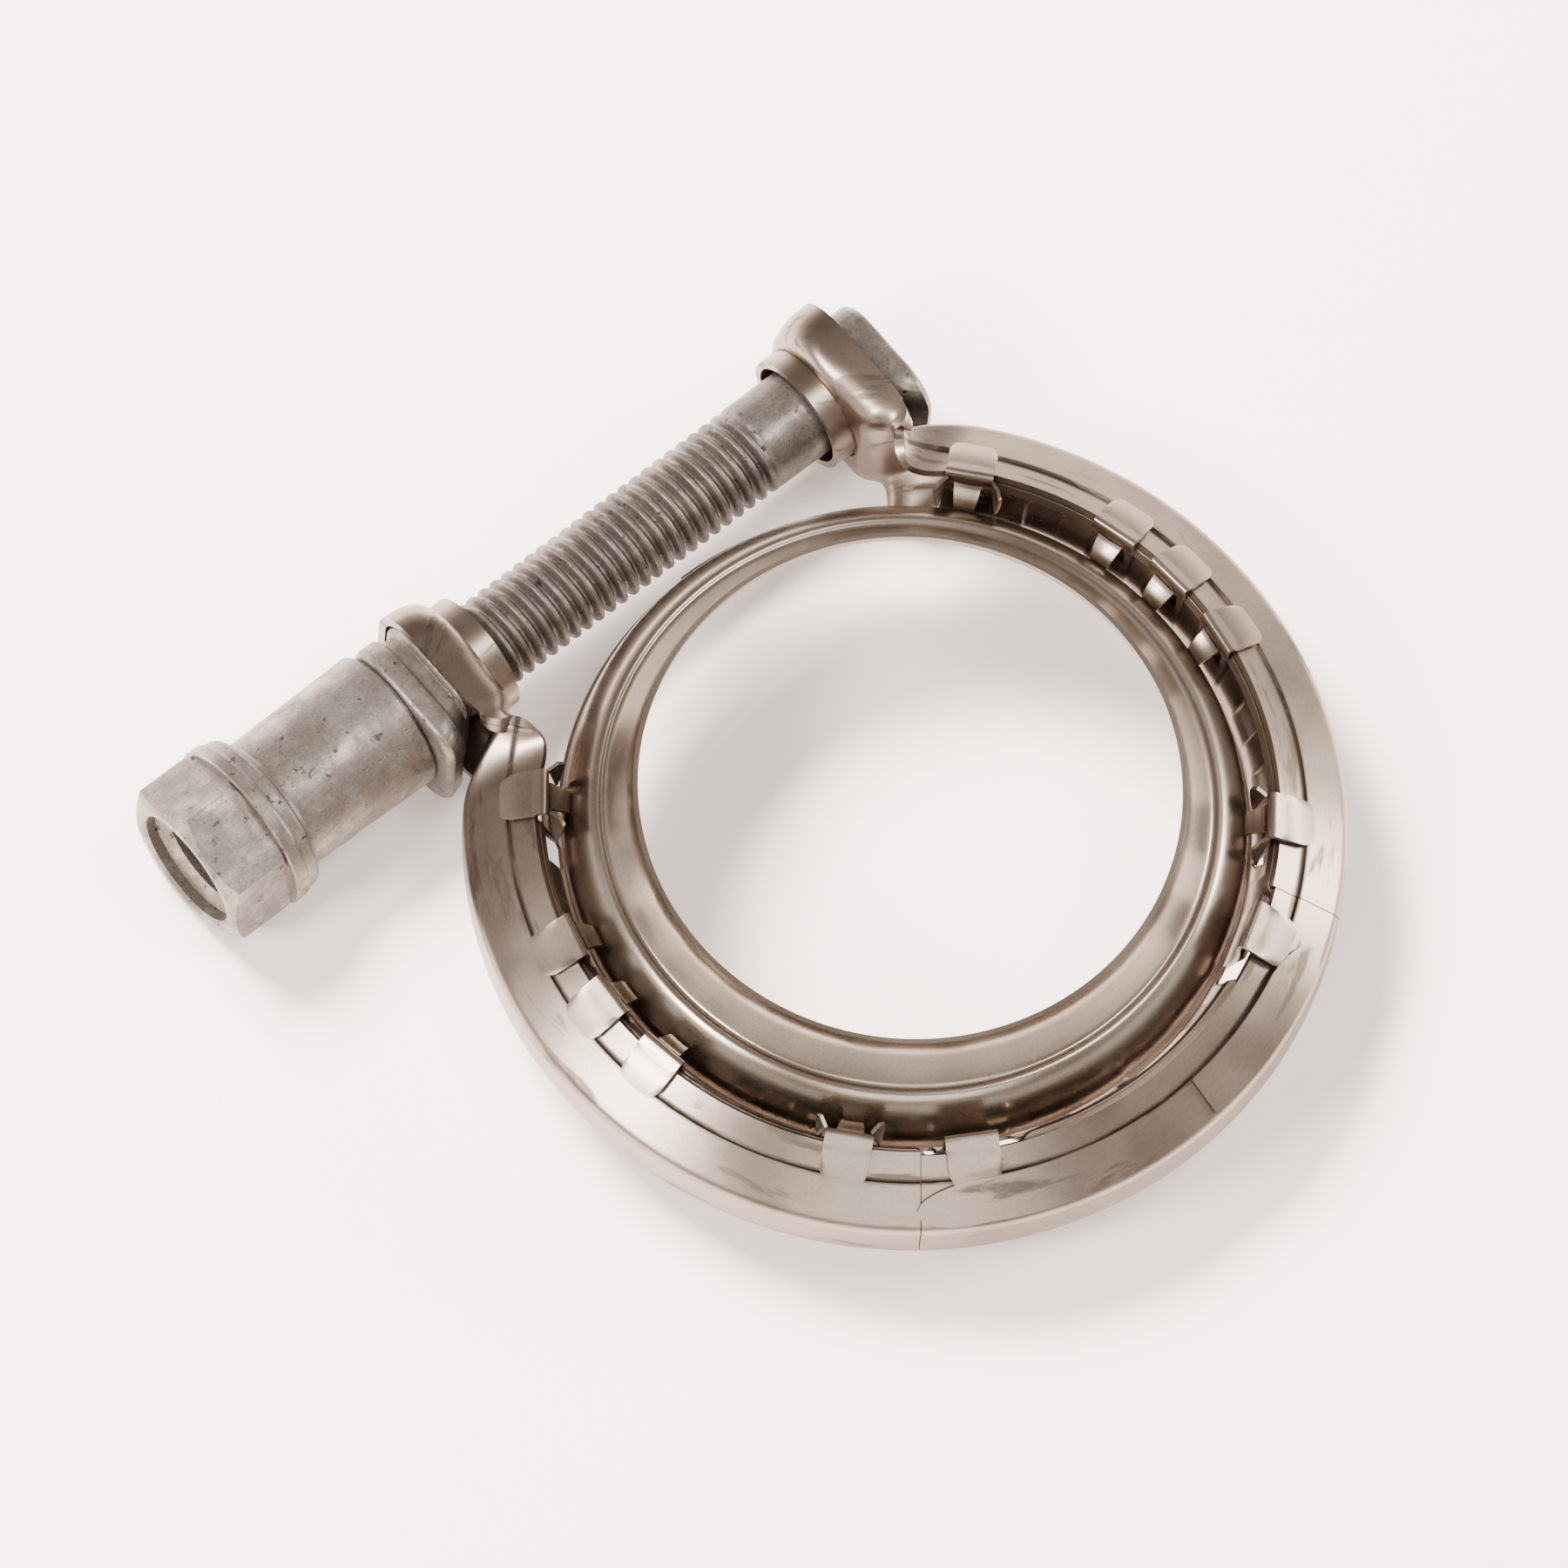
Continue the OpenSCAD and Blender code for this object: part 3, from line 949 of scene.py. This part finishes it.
@dataclass
class HingeBridge:
    """The springy bridge at the back: a V strap either side of the middle, with a tapered tongue plate."""

    sheet: Sheet
    band_r: float = 36.5
    half: float = 2.1
    end_r: float = 31.0
    reach_deg: float = 37.85
    bend: Keys = ((3.0, -36.0, 0.0), (22.2, -28.7, 0.0))
    plate_r: tuple[float, float] = (33.0, 36.15)
    plate_thickness: float = 0.26
    plate_lift: float = 0.20
    plate_bevel: float = 0.05

    def strap(self) -> Surface:
        """The right half of the strap, from the middle to the shell's end.

        Returns:
            A closed surface.
        """
        angle = np.radians(np.linspace(-90, -90 + self.reach_deg, 58))
        end_r = np.full(angle.shape, self.end_r)
        upper, left = self.sheet.stepped(
            self.sheet.section(self.band_r, self.half, end_r, angle), np.ones(len(angle))
        )
        return thickened(self.sheet.both_legs(upper), np.tile(left.reshape(-1), 2))

    def plate(self, first_deg: float, last_deg: float, taper_deg: float) -> Surface:
        """A thin plate welded on the upper leg, its far end tapered to a rounded tip.

        Args:
            first_deg, last_deg: its ends, as angles from -Y towards +X.
            taper_deg: how much of the far end is tapered.

        Returns:
            A closed surface that lies on the leg.
        """
        turn = np.linspace(first_deg, last_deg, 60)
        closeness = np.clip((last_deg - turn) / taper_deg, 0, 1)
        width = np.sqrt(np.clip(1 - (1 - closeness) ** 2.2, 0, 1))
        low_r, high_r = self.plate_r
        middle = (low_r + high_r) / 2 + 0.55 * (1 - closeness)
        span = (high_r - low_r) / 2 * np.maximum(width, 0.02)
        across = np.linspace(-1, 1, 9)
        radius = middle[:, None] + span[:, None] * across[None]
        z = self.half + (self.band_r - radius) * self.sheet.slope + self.plate_lift
        grid = about_z(radius, z, np.radians(turn - 90)[:, None])
        return thickened(patch(grid), self.plate_thickness)

    def build(self, finish: Material) -> None:
        """Writes the two straps and the plates, their transforms baked.

        Args:
            finish: its material.
        """
        ends = {side: [(side.value * x, y, z) for x, y, z in self.bend] for side in Side}
        strap = self.strap()
        for side, nodes in ((Side.RIGHT, ("hinge_bridge",)), (Side.LEFT, ())):
            piece = write_piece(f"bridge_strap_{side.label}", handed(strap, side), finish)
            settle(piece, "band_steel", side.body, *nodes, bend=ends[side])
        for side, sizes in ((Side.LEFT, (3.8, 38.5, 9.0)), (Side.RIGHT, (5.0, 32.0, 7.0))):
            plate = handed(self.plate(*sizes), side)
            piece = write_piece(f"bridge_tongue_{side.label}", plate, finish, bevel=self.plate_bevel)
            settle(piece, "band_steel", side.body, bend=ends[side])


@dataclass
class SealRing:
    """Pressed seal ring: rim, steep wall, ridge, groove, sloping flange and a short upright collar."""

    keys: Keys = (
        (28.3, 1.0), (28.22, 2.3), (27.95, 3.4), (27.3, 4.5), (26.55, 5.45), (26.0, 5.9), (25.6, 6.0),
        (25.25, 5.88), (24.95, 6.0), (24.4, 6.6), (23.7, 7.45), (23.1, 8.25), (22.82, 8.95), (22.8, 9.6),
    )
    thickness: float = 0.4

    def build(self, finish: Material) -> None:
        """Writes the ring: the key points' spline turned about Z, with the sheet's thickness inwards.

        Args:
            finish: its material.
        """
        profile = through(self.keys, 66)
        angle = np.linspace(0, 2 * math.pi, 181)[:, None]
        grid = about_z(profile[None, :, 0], profile[None, :, 1], angle)
        piece = write_piece("pressed_seal_ring", thickened(patch(grid), self.thickness), finish, bevel=0.06)
        settle(piece, "seal_steel", "root", "seal_ring")


# Clips, plain fingers, and windows with half their width: degrees from +Y, the windows' towards +X.
CLIP_DEG = (49.6, 74.6, 86.0, 98.3, 130.9, 150.0)
FINGER_DEG = (62.2, 68.0, 80.3, 92.1, 105.8, 117.0, 141.5, 165.0, 180.0)
WINDOWS = (
    (133.5, 2.6), (155.5, 2.4), (-56.8, 2.6), (-69.6, 0.9), (-155.5, 2.4), (-124.0, 0.8), (124.6, 0.6),
    (180.0, 0.5), (-180.0, 0.5),
)


@dataclass
class RetainerRing:
    """Thin strip round the seal's rim: foot turned in under it, wall leaning out, fingers at its top."""

    foot_r: float = 27.9
    wall_r: float = 28.5
    lean: float = 0.40
    thickness: float = 0.3
    foot_z: float = 0.1
    sill_z: float = 0.7
    bare_deg: float = 45.2
    wall_z: float = 3.3
    finger_z: float = 4.05
    finger_half_deg: float = 2.9
    corner: float = 0.7
    recess: float = 0.32
    bend_z: tuple[float, float] = (0.9, 3.3)

    def outline(self, turn: Array) -> tuple[Array, Array]:
        """Height of the strip's edge and how far each column stands back from the fingers.

        Wall height, plus a finger's rise with quarter-circle shoulders, less the windows.

        Args:
            turn: angles from +Y towards +X, -180 to 180 degrees.

        Returns:
            Heights in mm, and shares from 0 on a finger to 1 between fingers.
        """
        arc = math.radians(self.wall_r)
        nearest = np.abs(np.abs(turn)[:, None] - np.array(FINGER_DEG)[None]).min(axis=1)
        past = (nearest - self.finger_half_deg) * arc
        inside = np.clip(self.corner + past, 0, self.corner)
        finger = self.finger_z - self.corner + np.sqrt(self.corner**2 - inside**2)
        edge = np.where(past < 0, np.maximum(finger, self.wall_z), self.wall_z)
        centre, half = np.array(WINDOWS).T
        open_by = (half[None] - np.abs(turn[:, None] - centre[None])).max(axis=1) * arc
        cut = self.sill_z + 0.4 * (1 - eased(open_by / 0.5))
        edge = np.where(open_by > 0, cut, edge)
        bare = eased((np.abs(turn) - self.bare_deg) / 0.8)
        return self.sill_z + (edge - self.sill_z) * bare, eased(past / 0.3 + 0.5)

    def build(self, finish: Material) -> None:
        """Writes the strip's two halves, their transforms baked.

        Args:
            finish: its material.
        """
        for side in Side:
            piece = write_piece(f"retainer_strip_{side.label}", self.half(side), finish)
            nodes = ("retainer_ring",) if side is Side.RIGHT else ()
            settle(piece, "clip_steel", side.body, *nodes, bend=[(0, 0, z) for z in self.bend_z])

    def half(self, side: Side) -> Surface:
        """One half of the strip: at each angle a column of points from its foot to its edge.

        Args:
            side: which half.

        Returns:
            A closed surface.
        """
        turn = side.value * np.linspace(0, 180, 901)
        top, back = self.outline(turn)
        up = np.linspace(0, 1, 9)
        wall_z = self.foot_z + (top - self.foot_z)[:, None] * up[None]
        set_back = self.recess * back[:, None] * eased((wall_z - 0.8) / 1.2)
        wall = self.wall_r + self.lean * (wall_z - self.foot_z) + set_back
        foot = np.linspace(self.foot_r, self.wall_r, 3, endpoint=False)[None]
        radius = np.concatenate([np.broadcast_to(foot, (len(turn), 3)), wall], axis=1)
        z = np.concatenate([np.full((len(turn), 3), self.foot_z), wall_z], axis=1)
        grid = about_z(radius, z, np.radians(90 - turn)[:, None])
        return thickened(patch(grid), self.thickness)


@dataclass
class HookClip:
    """One hook clip: leaf over the band's leg, tight fold, two legs down to the strip, tongue and wings."""

    number: int
    turn_deg: float
    kind: ClipKind
    width: float = 4.0
    thickness: float = 0.35
    lance_thickness: float = 0.3
    leg_r: float = 29.55
    leg_width: float = 0.6
    leaf_corner: float = 0.9
    wing_length: float = 1.7
    wing_top_z: float = 6.3
    wing_drop: float = 4.5
    bend_r: tuple[float, float] = (28.9, 30.0)
    leaf_keys: Keys = (
        (29.6, 4.9), (29.56, 5.6), (29.66, 6.25), (30.05, 6.62), (30.7, 6.3), (32.0, 5.45), (33.6, 4.42),
    )
    leg_keys: Keys = ((28.68, 1.0), (28.98, 1.8), (29.3, 2.7), (29.52, 3.7), (29.58, 4.5), (29.6, 4.95))
    tongue_keys: Keys = (
        (29.6, 5.35), (29.3, 5.05), (28.85, 4.75), (28.42, 4.4), (28.12, 4.0), (28.04, 3.65)
    )

    def local(self, across: Array, radius: Array, z: Array) -> Array:
        """Turns points given across, outwards and up at this clip into the clamp's own frame.

        Args:
            across, radius, z: arrays that broadcast together.

        Returns:
            Points with X, Y and Z as the last axis.
        """
        across, radius, z = np.broadcast_arrays(across, radius, z)
        turn = math.radians(self.turn_deg)
        x = radius * math.cos(turn) - across * math.sin(turn)
        y = radius * math.sin(turn) + across * math.cos(turn)
        return np.stack([x, y, z], axis=-1)

    def leaf(self) -> Surface:
        """Leaf and fold: a spline over the lip, with the leaf's far corners rounded by a quarter circle.

        Returns:
            A closed surface.
        """
        half = self.width / 2
        path = through(self.leaf_keys, 40)
        path[28:, 1] += 0.10 * np.sin(np.linspace(0, math.pi, 12))
        across = np.linspace(-half, half, 17)
        corner = self.leaf_corner
        gap = np.clip(np.abs(across) - (half - corner), 0, corner)
        trim = corner - np.sqrt(corner**2 - gap**2)
        share = np.clip((np.arange(40) - 24) / 15, 0, 1)
        radius = path[:, :1] - trim[None] * share[:, None]
        z = path[:, 1:] + trim[None] * share[:, None] * 0.65
        return thickened(patch(self.local(across[None], radius, z)), self.thickness)

    def legs(self) -> Surface:
        """Legs up from the foot to the fold; a plain clip has one wide leg, the others two narrow ones.

        Returns:
            A closed surface.
        """
        path = through(self.leg_keys, 18)
        half = self.width / 2
        inner = half - self.leg_width
        if self.kind is ClipKind.PLAIN:
            spans = [(-half, half, path)]
        else:
            spans = [(-half, -inner, path), (inner, half, path), (-inner, inner, path[:8])]
        strips = [self.local(np.linspace(a, b, 7)[None], run[:, :1], run[:, 1:]) for a, b, run in spans]
        return thickened(joined(*map(patch, strips)), self.thickness)

    def tongue(self) -> Surface:
        """Lanced tongue: widest at the fold, narrower below, bent in and down towards the seal's rim.

        Returns:
            A closed surface.
        """
        path = through(self.tongue_keys, 16)
        half = np.interp(np.linspace(0, 1, 16), [0, 0.35, 0.8, 1], [1.2, 1.12, 0.9, 0.8])
        across = half[:, None] * np.linspace(-1, 1, 7)[None]
        dish = 0.12 * (across / 1.1) ** 2
        return thickened(patch(self.local(across, path[:, :1], path[:, 1:] + dish)), self.lance_thickness)

    def wing(self, hand: int) -> Surface:
        """Wing at one end of the fold: bent inwards, its free edge tapering to a point at the bottom.

        Args:
            hand: 1 or -1, the end of the fold it stands at.

        Returns:
            A closed surface.
        """
        down = np.linspace(0, 1, 14)[:, None]
        out = np.linspace(0, 1, 7)[None]
        length = self.wing_length * np.clip(1 - down, 0.01, 1) ** 0.75 * (0.6 + 0.4 * eased(down * 5))
        z = self.wing_top_z - self.wing_drop * down + 0.3 * out * (1 - down)
        radius = self.leg_r + 0.05 - 0.75 * down - length * out * 0.8
        across = hand * (self.width / 2 - 0.12 + 0.55 * down + length * out * 0.55)
        return thickened(patch(self.local(across, radius, z)), self.lance_thickness)

    def build(self, finish: Material) -> None:
        """Writes the clip, its transform baked.

        Args:
            finish: its material.
        """
        parts = [self.leaf(), self.legs()]
        if self.kind is not ClipKind.PLAIN:
            parts.append(self.tongue())
        if self.kind is ClipKind.WINGED:
            parts += [self.wing(1), self.wing(-1)]
        parts = [outward(welded(part)) for part in parts]
        piece = write_piece(f"spring_clip_{self.number}", joined(*parts), finish, bevel=0.05)
        body = (Side.RIGHT if self.number <= len(CLIP_DEG) else Side.LEFT).body
        bend = [self.local(0.0, radius, 0.0) for radius in self.bend_r]
        settle(piece, "clip_steel", body, f"hook_clip_{self.number}", bend=bend)


@dataclass
class HookClips:
    """All twelve clips, numbered from beside the right ear, past the bridge, to beside the left ear."""

    winged: tuple[int, ...] = (1, 5, 8, 12)
    plain: tuple[int, ...] = (6, 7)
    plain_width: float = 4.4

    def build(self, finish: Material) -> None:
        """Writes each clip at its angle.

        Args:
            finish: its material.
        """
        turns = [90 - a for a in CLIP_DEG] + [90 + a for a in reversed(CLIP_DEG)]
        for number, turn in enumerate(turns, start=1):
            clip = HookClip(number, turn, ClipKind.WINGED if number in self.winged else ClipKind.TONGUE)
            if number in self.plain:
                clip = HookClip(number, turn, ClipKind.PLAIN, self.plain_width)
            clip.build(finish)


@dataclass
class TBolt:
    """T-bolt: rolled thread, plain shank and a two-step rounded head that seats in the right ear's cup."""

    axis_y: float
    thread_r: float = 4.0
    pitch: float = 1.25
    start_x: float = -42.0
    stop_x: float = 12.5
    seat_x: float = 20.05
    step_x: float = 22.9
    back_x: float = 25.8
    rows_per_turn: int = 14
    crest_share: float = 0.16
    depth_share: float = 0.62  # thread depth as a share of the pitch
    fade_turns: float = 1.3
    point: float = 0.9  # how much narrower the bolt's first end is

    def shank(self) -> Surface:
        """Thread and shank: radius = r - depth x groove(turns along - turns round), fading into the shank.

        Returns:
            A closed surface with its ends drawn in to poles on the axis.
        """
        fine = np.arange(self.start_x, self.stop_x + 1.2, self.pitch / self.rows_per_turn)
        plain = np.array([self.stop_x + 1.5, 16.0, 18.5, 20.6])
        x = np.concatenate([fine, plain])[:, None]
        around = np.linspace(0, 2 * math.pi, 65)[None]
        phase = np.mod((x - self.start_x) / self.pitch - around / (2 * math.pi), 1.0)
        wave = np.abs(2 * phase - 1)
        groove = eased((wave - self.crest_share) / (0.9 - self.crest_share))
        fade = eased((self.stop_x - x) / (self.fade_turns * self.pitch)) * self.depth_share * self.pitch
        lead_in = self.point * np.clip(1 - (x - self.start_x) / 1.1, 0, 1)
        radius = self.thread_r - fade * groove - lead_in
        body = about_bolt(x, radius, around, self.axis_y)
        first, last = (about_bolt(end, 0 * around, around, self.axis_y) for end in (x[:1], x[-1:]))
        return patch(np.concatenate([first, body, last]))

    def head(self) -> Surface:
        """Head: rounded outlines lofted along X in two steps, the ring-side end cut on a slant.

        Returns:
            A closed surface with flat poles at the seat and at the back.
        """
        seat, mid, back = self.seat_x, self.step_x, self.back_x
        near_mid = mid + np.array([-0.35, -0.05, 0.05, 0.3, 0.55])
        near_back = back - np.array([0.75, 0.3, 0.08, 0.0])
        x = np.concatenate([[seat, seat + 0.25], near_mid, near_back])
        inset = np.array([0.3, 0.0, 0.0, 0.18, 0.75, 0.9, 0.7, 0.6, 0.72, 0.98, 1.3])
        slant = np.interp(x, [seat, back - 0.6, back], [31.9, 26.9, 27.3])
        low = slant + np.maximum(inset - 0.6, 0) * 0.8
        high, half = 39.4 - inset * 0.75, 5.9 - inset
        low_r = np.interp(x, [seat, back], [1.1, 3.2])
        loop = rounded_loop(low, high, half, low_r, 3.6 - inset * 0.5, 16)
        grid = along_x(x, loop)
        poles = np.array([[seat, self.axis_y, 0], [back, self.axis_y, 0]])[:, None]
        ends = np.broadcast_to(poles, (2, grid.shape[1], 3))
        return patch(np.concatenate([ends[:1], grid, ends[1:]]))

    def build(self, finish: Material) -> None:
        """Writes shank and head as one piece on the bolt body.

        Args:
            finish: its material.
        """
        whole = joined(outward(welded(self.shank())), outward(welded(self.head())))
        piece = write_piece("t_head_bolt", whole, finish, sharp_deg=50)
        settle(piece, "bolt_coat", "bolt", "t_bolt")


@dataclass
class SaddleWasher:
    """Saddle washer between the nut and the left ear's cup: a two-step rounded block with a hole."""

    axis_y: float
    hole_r: float = 4.6

    def surface(self) -> Surface:
        """Rounded outlines lofted along X, joined to the hole by flat faces, and the hole's wall.

        Returns:
            A closed surface.
        """
        x = -np.array([20.05, 20.3, 22.5, 22.8, 23.05, 24.1, 24.3, 24.42, 24.6, 25.95, 26.3, 26.5, 26.6])
        inset = np.array([0.3, 0.0, 0.0, 0.15, 0.62, 0.66, 0.55, 0.2, 0.08, 0.05, 0.2, 0.45, 0.8])
        low = np.interp(-x, [20.05, 25.2, 26.6], [31.9, 26.75, 27.1]) + 0.5 * inset
        low_r = np.interp(-x, [20.05, 24.0], [1.0, 2.6])
        loop = rounded_loop(low, 39.8 - inset, 6.1 - inset, low_r, 3.6 - inset * 0.5, 16)
        grid = along_x(x, loop)
        toward = loop[0] - [self.axis_y, 0]
        hole = toward / np.linalg.norm(toward, axis=1, keepdims=True) * self.hole_r + [self.axis_y, 0]
        front, back = (np.column_stack([np.full(len(hole), at), hole])[None] for at in (x[0], x[-1]))
        return patch(np.concatenate([front, grid, back, front]))

    def build(self, finish: Material) -> None:
        """Writes the washer on its own body."""
        piece = write_piece("saddle_washer_block", self.surface(), finish, sharp_deg=42, bevel=0.1)
        settle(piece, "washer_coat", "washer", "saddle_washer")


@dataclass
class SleeveNut:
    """Sleeve nut: tapered sleeve, stepped collar, chamfered hexagon and a bored mouth."""

    axis_y: float
    face_x: float
    end_x: float
    flats: float = 13.0
    turn_deg: float = -7.0
    collar_r: float = 7.6
    sleeve_r: float = 6.25
    face_r: float = 6.2
    chamfer_slope: float = 1.5
    hex_length: float = 5.9
    root_r: float = 7.25  # where the hexagon's corners run into the collar
    bore_r: float = 4.08
    mouth_r: float = 5.25

    def hexagon(self, around: Array) -> Array:
        """Radius of the hexagon at each angle: half the flats over the cosine of the angle from a flat."""
        from_flat = np.mod(around - math.radians(self.turn_deg) + math.pi / 6, math.pi / 3) - math.pi / 6
        return self.flats / 2 / np.cos(from_flat)

    def surface(self) -> Surface:
        """Rows round the axis: mouth and bore, end face, hexagon under its chamfer cone, collar, sleeve.

        Returns:
            A closed surface.
        """
        around = np.linspace(0, 2 * math.pi, 193)[None]
        hexagon = self.hexagon(around)
        end, collar = self.end_x, self.end_x + self.hex_length
        chamfer = (hexagon - self.face_r) / self.chamfer_slope
        slanted, straight = np.linspace(0, 1, 5)[:, None], np.array([0.3, 0.65, 1.0])[:, None]
        run = np.concatenate([chamfer * slanted, chamfer + (self.hex_length - 0.4 - chamfer) * straight])
        tops = np.concatenate([self.face_r + (hexagon - self.face_r) * slanted, hexagon + 0 * straight])
        root = np.minimum(hexagon, self.root_r)
        hex_x = end + np.vstack([run, np.full_like(root, self.hex_length - 0.05)])
        hex_r = np.vstack([tops, root])
        top = self.collar_r
        outlines = (
            (
                collar + np.array([0.0, 0.06, 0.2, 1.15, 1.4, 1.5, 1.62, 2.3, 2.6, 2.8, 3.0]),
                [
                    7.0, 7.42, top, top, top - 0.1, top - 0.28, top - 0.3, top - 0.34, top - 0.5,
                    top - 0.95, 6.2
                ],
            ),
            (
                [collar + 3.35, collar + 8.0, collar + 12.8, self.face_x - 0.28, self.face_x],
                [6.05, 6.1, 6.18, self.sleeve_r, self.sleeve_r - 0.25],
            ),
            (
                [self.face_x, end + 1.9, end + 1.2, end + 0.25, end],
                [self.bore_r, self.bore_r, self.mouth_r, self.mouth_r, self.mouth_r + 0.3],
            ),
        )
        hex_rows = about_bolt(hex_x, hex_r, around, self.axis_y)
        turned = [about_bolt(np.c_[x], np.c_[r], around, self.axis_y) for x, r in outlines]
        rows = [hex_rows, *turned, hex_rows[:1]]
        return patch(np.concatenate(rows))

    def build(self, finish: Material) -> None:
        """Writes the nut on its own body."""
        piece = write_piece("sleeve_hex_nut", self.surface(), finish, sharp_deg=21, bevel=0.08)
        settle(piece, "nut_coat", "nut", "sleeve_nut")


@dataclass
class Studio:
    """White floor, broad soft lights and the camera, set up in millimetres."""

    floor_z: float
    target: tuple[float, float, float] = (-5.35, 9.22, 1.12)
    distance: float = 2000.0
    lens: float = 556.7
    room_strength: float = 1.6
    right: tuple[float, float, float] = (0.7678, -0.6388, 0.0448)
    up: tuple[float, float, float] = (0.5749, 0.7183, 0.3915)

    def camera(self) -> None:
        """Camera that looks at the target from above, beyond the nut's end, with a slight roll."""
        right = Vector(self.right).normalized()
        back = right.cross(Vector(self.up)).normalized()
        up = back.cross(right)
        data = bpy.data.cameras.new("studio_camera")
        data.lens, data.sensor_width = self.lens, 36.0
        data.clip_start, data.clip_end = 0.05, 20.0
        camera = linked("studio_camera", data)
        turned = Matrix((right, up, back)).transposed().to_4x4()
        turned.translation = (Vector(self.target) + back * self.distance) * MM
        camera.matrix_world = turned
        bpy.context.scene.camera = camera

    def floor(self) -> None:
        """Plain white floor, far wider than the view."""
        reach = 1500.0
        corner = np.array(
            [[-reach, reach, reach, -reach], [-reach, -reach, reach, reach], [self.floor_z] * 4]
        ).T
        mesh = bpy.data.meshes.new("studio_floor")
        mesh.from_pydata((corner * MM).tolist(), [], [[0, 1, 2, 3]])
        floor = linked("studio_floor", mesh)
        material = bpy.data.materials.new("matt_white_paper")
        material.use_nodes = True
        shader = material.node_tree.nodes["Principled BSDF"]
        look = {"Base Color": linear("#F7EBE4"), "Roughness": 0.9, "Specular IOR Level": 0.1}
        look |= {"Emission Color": linear("#FFF8F3"), "Emission Strength": 0.3}
        for name, value in look.items():
            shader.inputs[name].default_value = value
        mesh.materials.append(material)

    def soft_box(
        self,
        name: str,
        at: tuple[float, ...],
        size: tuple[float, ...],
        power: float,
        colour: str,
        glossy: bool = True,
    ) -> None:
        """One rectangular soft light aimed at the clamp.

        Args:
            name: the light's name.
            at: where it stands, in mm.
            size: its width and height in mm.
            power: in watts.
            colour: its sRGB colour.
            glossy: whether metal shows its reflection.
        """
        data = bpy.data.lights.new(name, "AREA")
        data.shape, data.size, data.size_y = "RECTANGLE", size[0] * MM, size[1] * MM
        data.energy, data.color = power, linear(colour)[:3]
        light = linked(name, data)
        light.visible_glossy = glossy
        aim = Vector((0, 5, 0)) - Vector(at)
        turned = aim.to_track_quat("-Z", "Y").to_matrix().to_4x4()
        light.matrix_world = Matrix.Translation(Vector(at) * MM) @ turned

    def world(self) -> None:
        """Studio room: pale walls round the horizon, darker overhead, by the height of the direction."""
        world = bpy.data.worlds.new("studio_room")
        world.use_nodes = True
        tree = world.node_tree
        direction = add_node(tree, "TexCoord", output="Generated")
        height = add_node(tree, "SeparateXYZ", (direction,), 2)
        share = add_node(tree, "MapRange", (height, 0.14, 0.42))
        walls = {0: share, 6: linear("#FFF8F2"), 7: linear("#8C827A")}
        tone = add_node(tree, "Mix", walls, 2, data_type="RGBA")
        tree.links.new(tone, tree.nodes["Background"].inputs["Color"])
        tree.nodes["Background"].inputs["Strength"].default_value = self.room_strength
        bpy.context.scene.world = world

    def build(self) -> None:
        """Sets the camera first, then floor, room and lights."""
        self.camera()
        self.floor()
        self.world()
        self.soft_box("window_box", (-90, 640, 760), (420, 340), 62.0, "#FFFBF8", glossy=False)
        self.soft_box("left_box", (-570, 100, 520), (170, 150), 7.5, "#FFFBF7")
        self.soft_box("side_box", (640, -300, 300), (190, 150), 4.0, "#FFF9F4")
        self.soft_box("front_box", (-350, -505, 660), (600, 420), 3.2, "#FFFAF6")
        self.soft_box("top_box", (260, -200, 850), (280, 220), 4.0, "#FFFCF9")


def main() -> None:
    logging.basicConfig(level=logging.INFO, format="%(message)s")
    Studio(floor_z=CAD_BOX[0][2] / MM - 0.02).build()
    finishes = Finishes.made()
    sheet = Sheet()
    for side in Side:
        BandHalf(side, sheet).build(finishes.band)
    Liners(sheet).build(finishes.liner)
    HingeBridge(sheet).build(finishes.band)
    SealRing().build(finishes.seal)
    RetainerRing().build(finishes.clip)
    HookClips().build(finishes.clip)
    low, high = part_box("sleeve_nut")
    axis_y = (low.y + high.y) / 2 / MM
    TBolt(axis_y).build(finishes.bolt)
    SaddleWasher(axis_y).build(finishes.washer)
    SleeveNut(axis_y, face_x=high.x / MM, end_x=low.x / MM).build(finishes.nut)


if __name__ == "__main__":
    main()
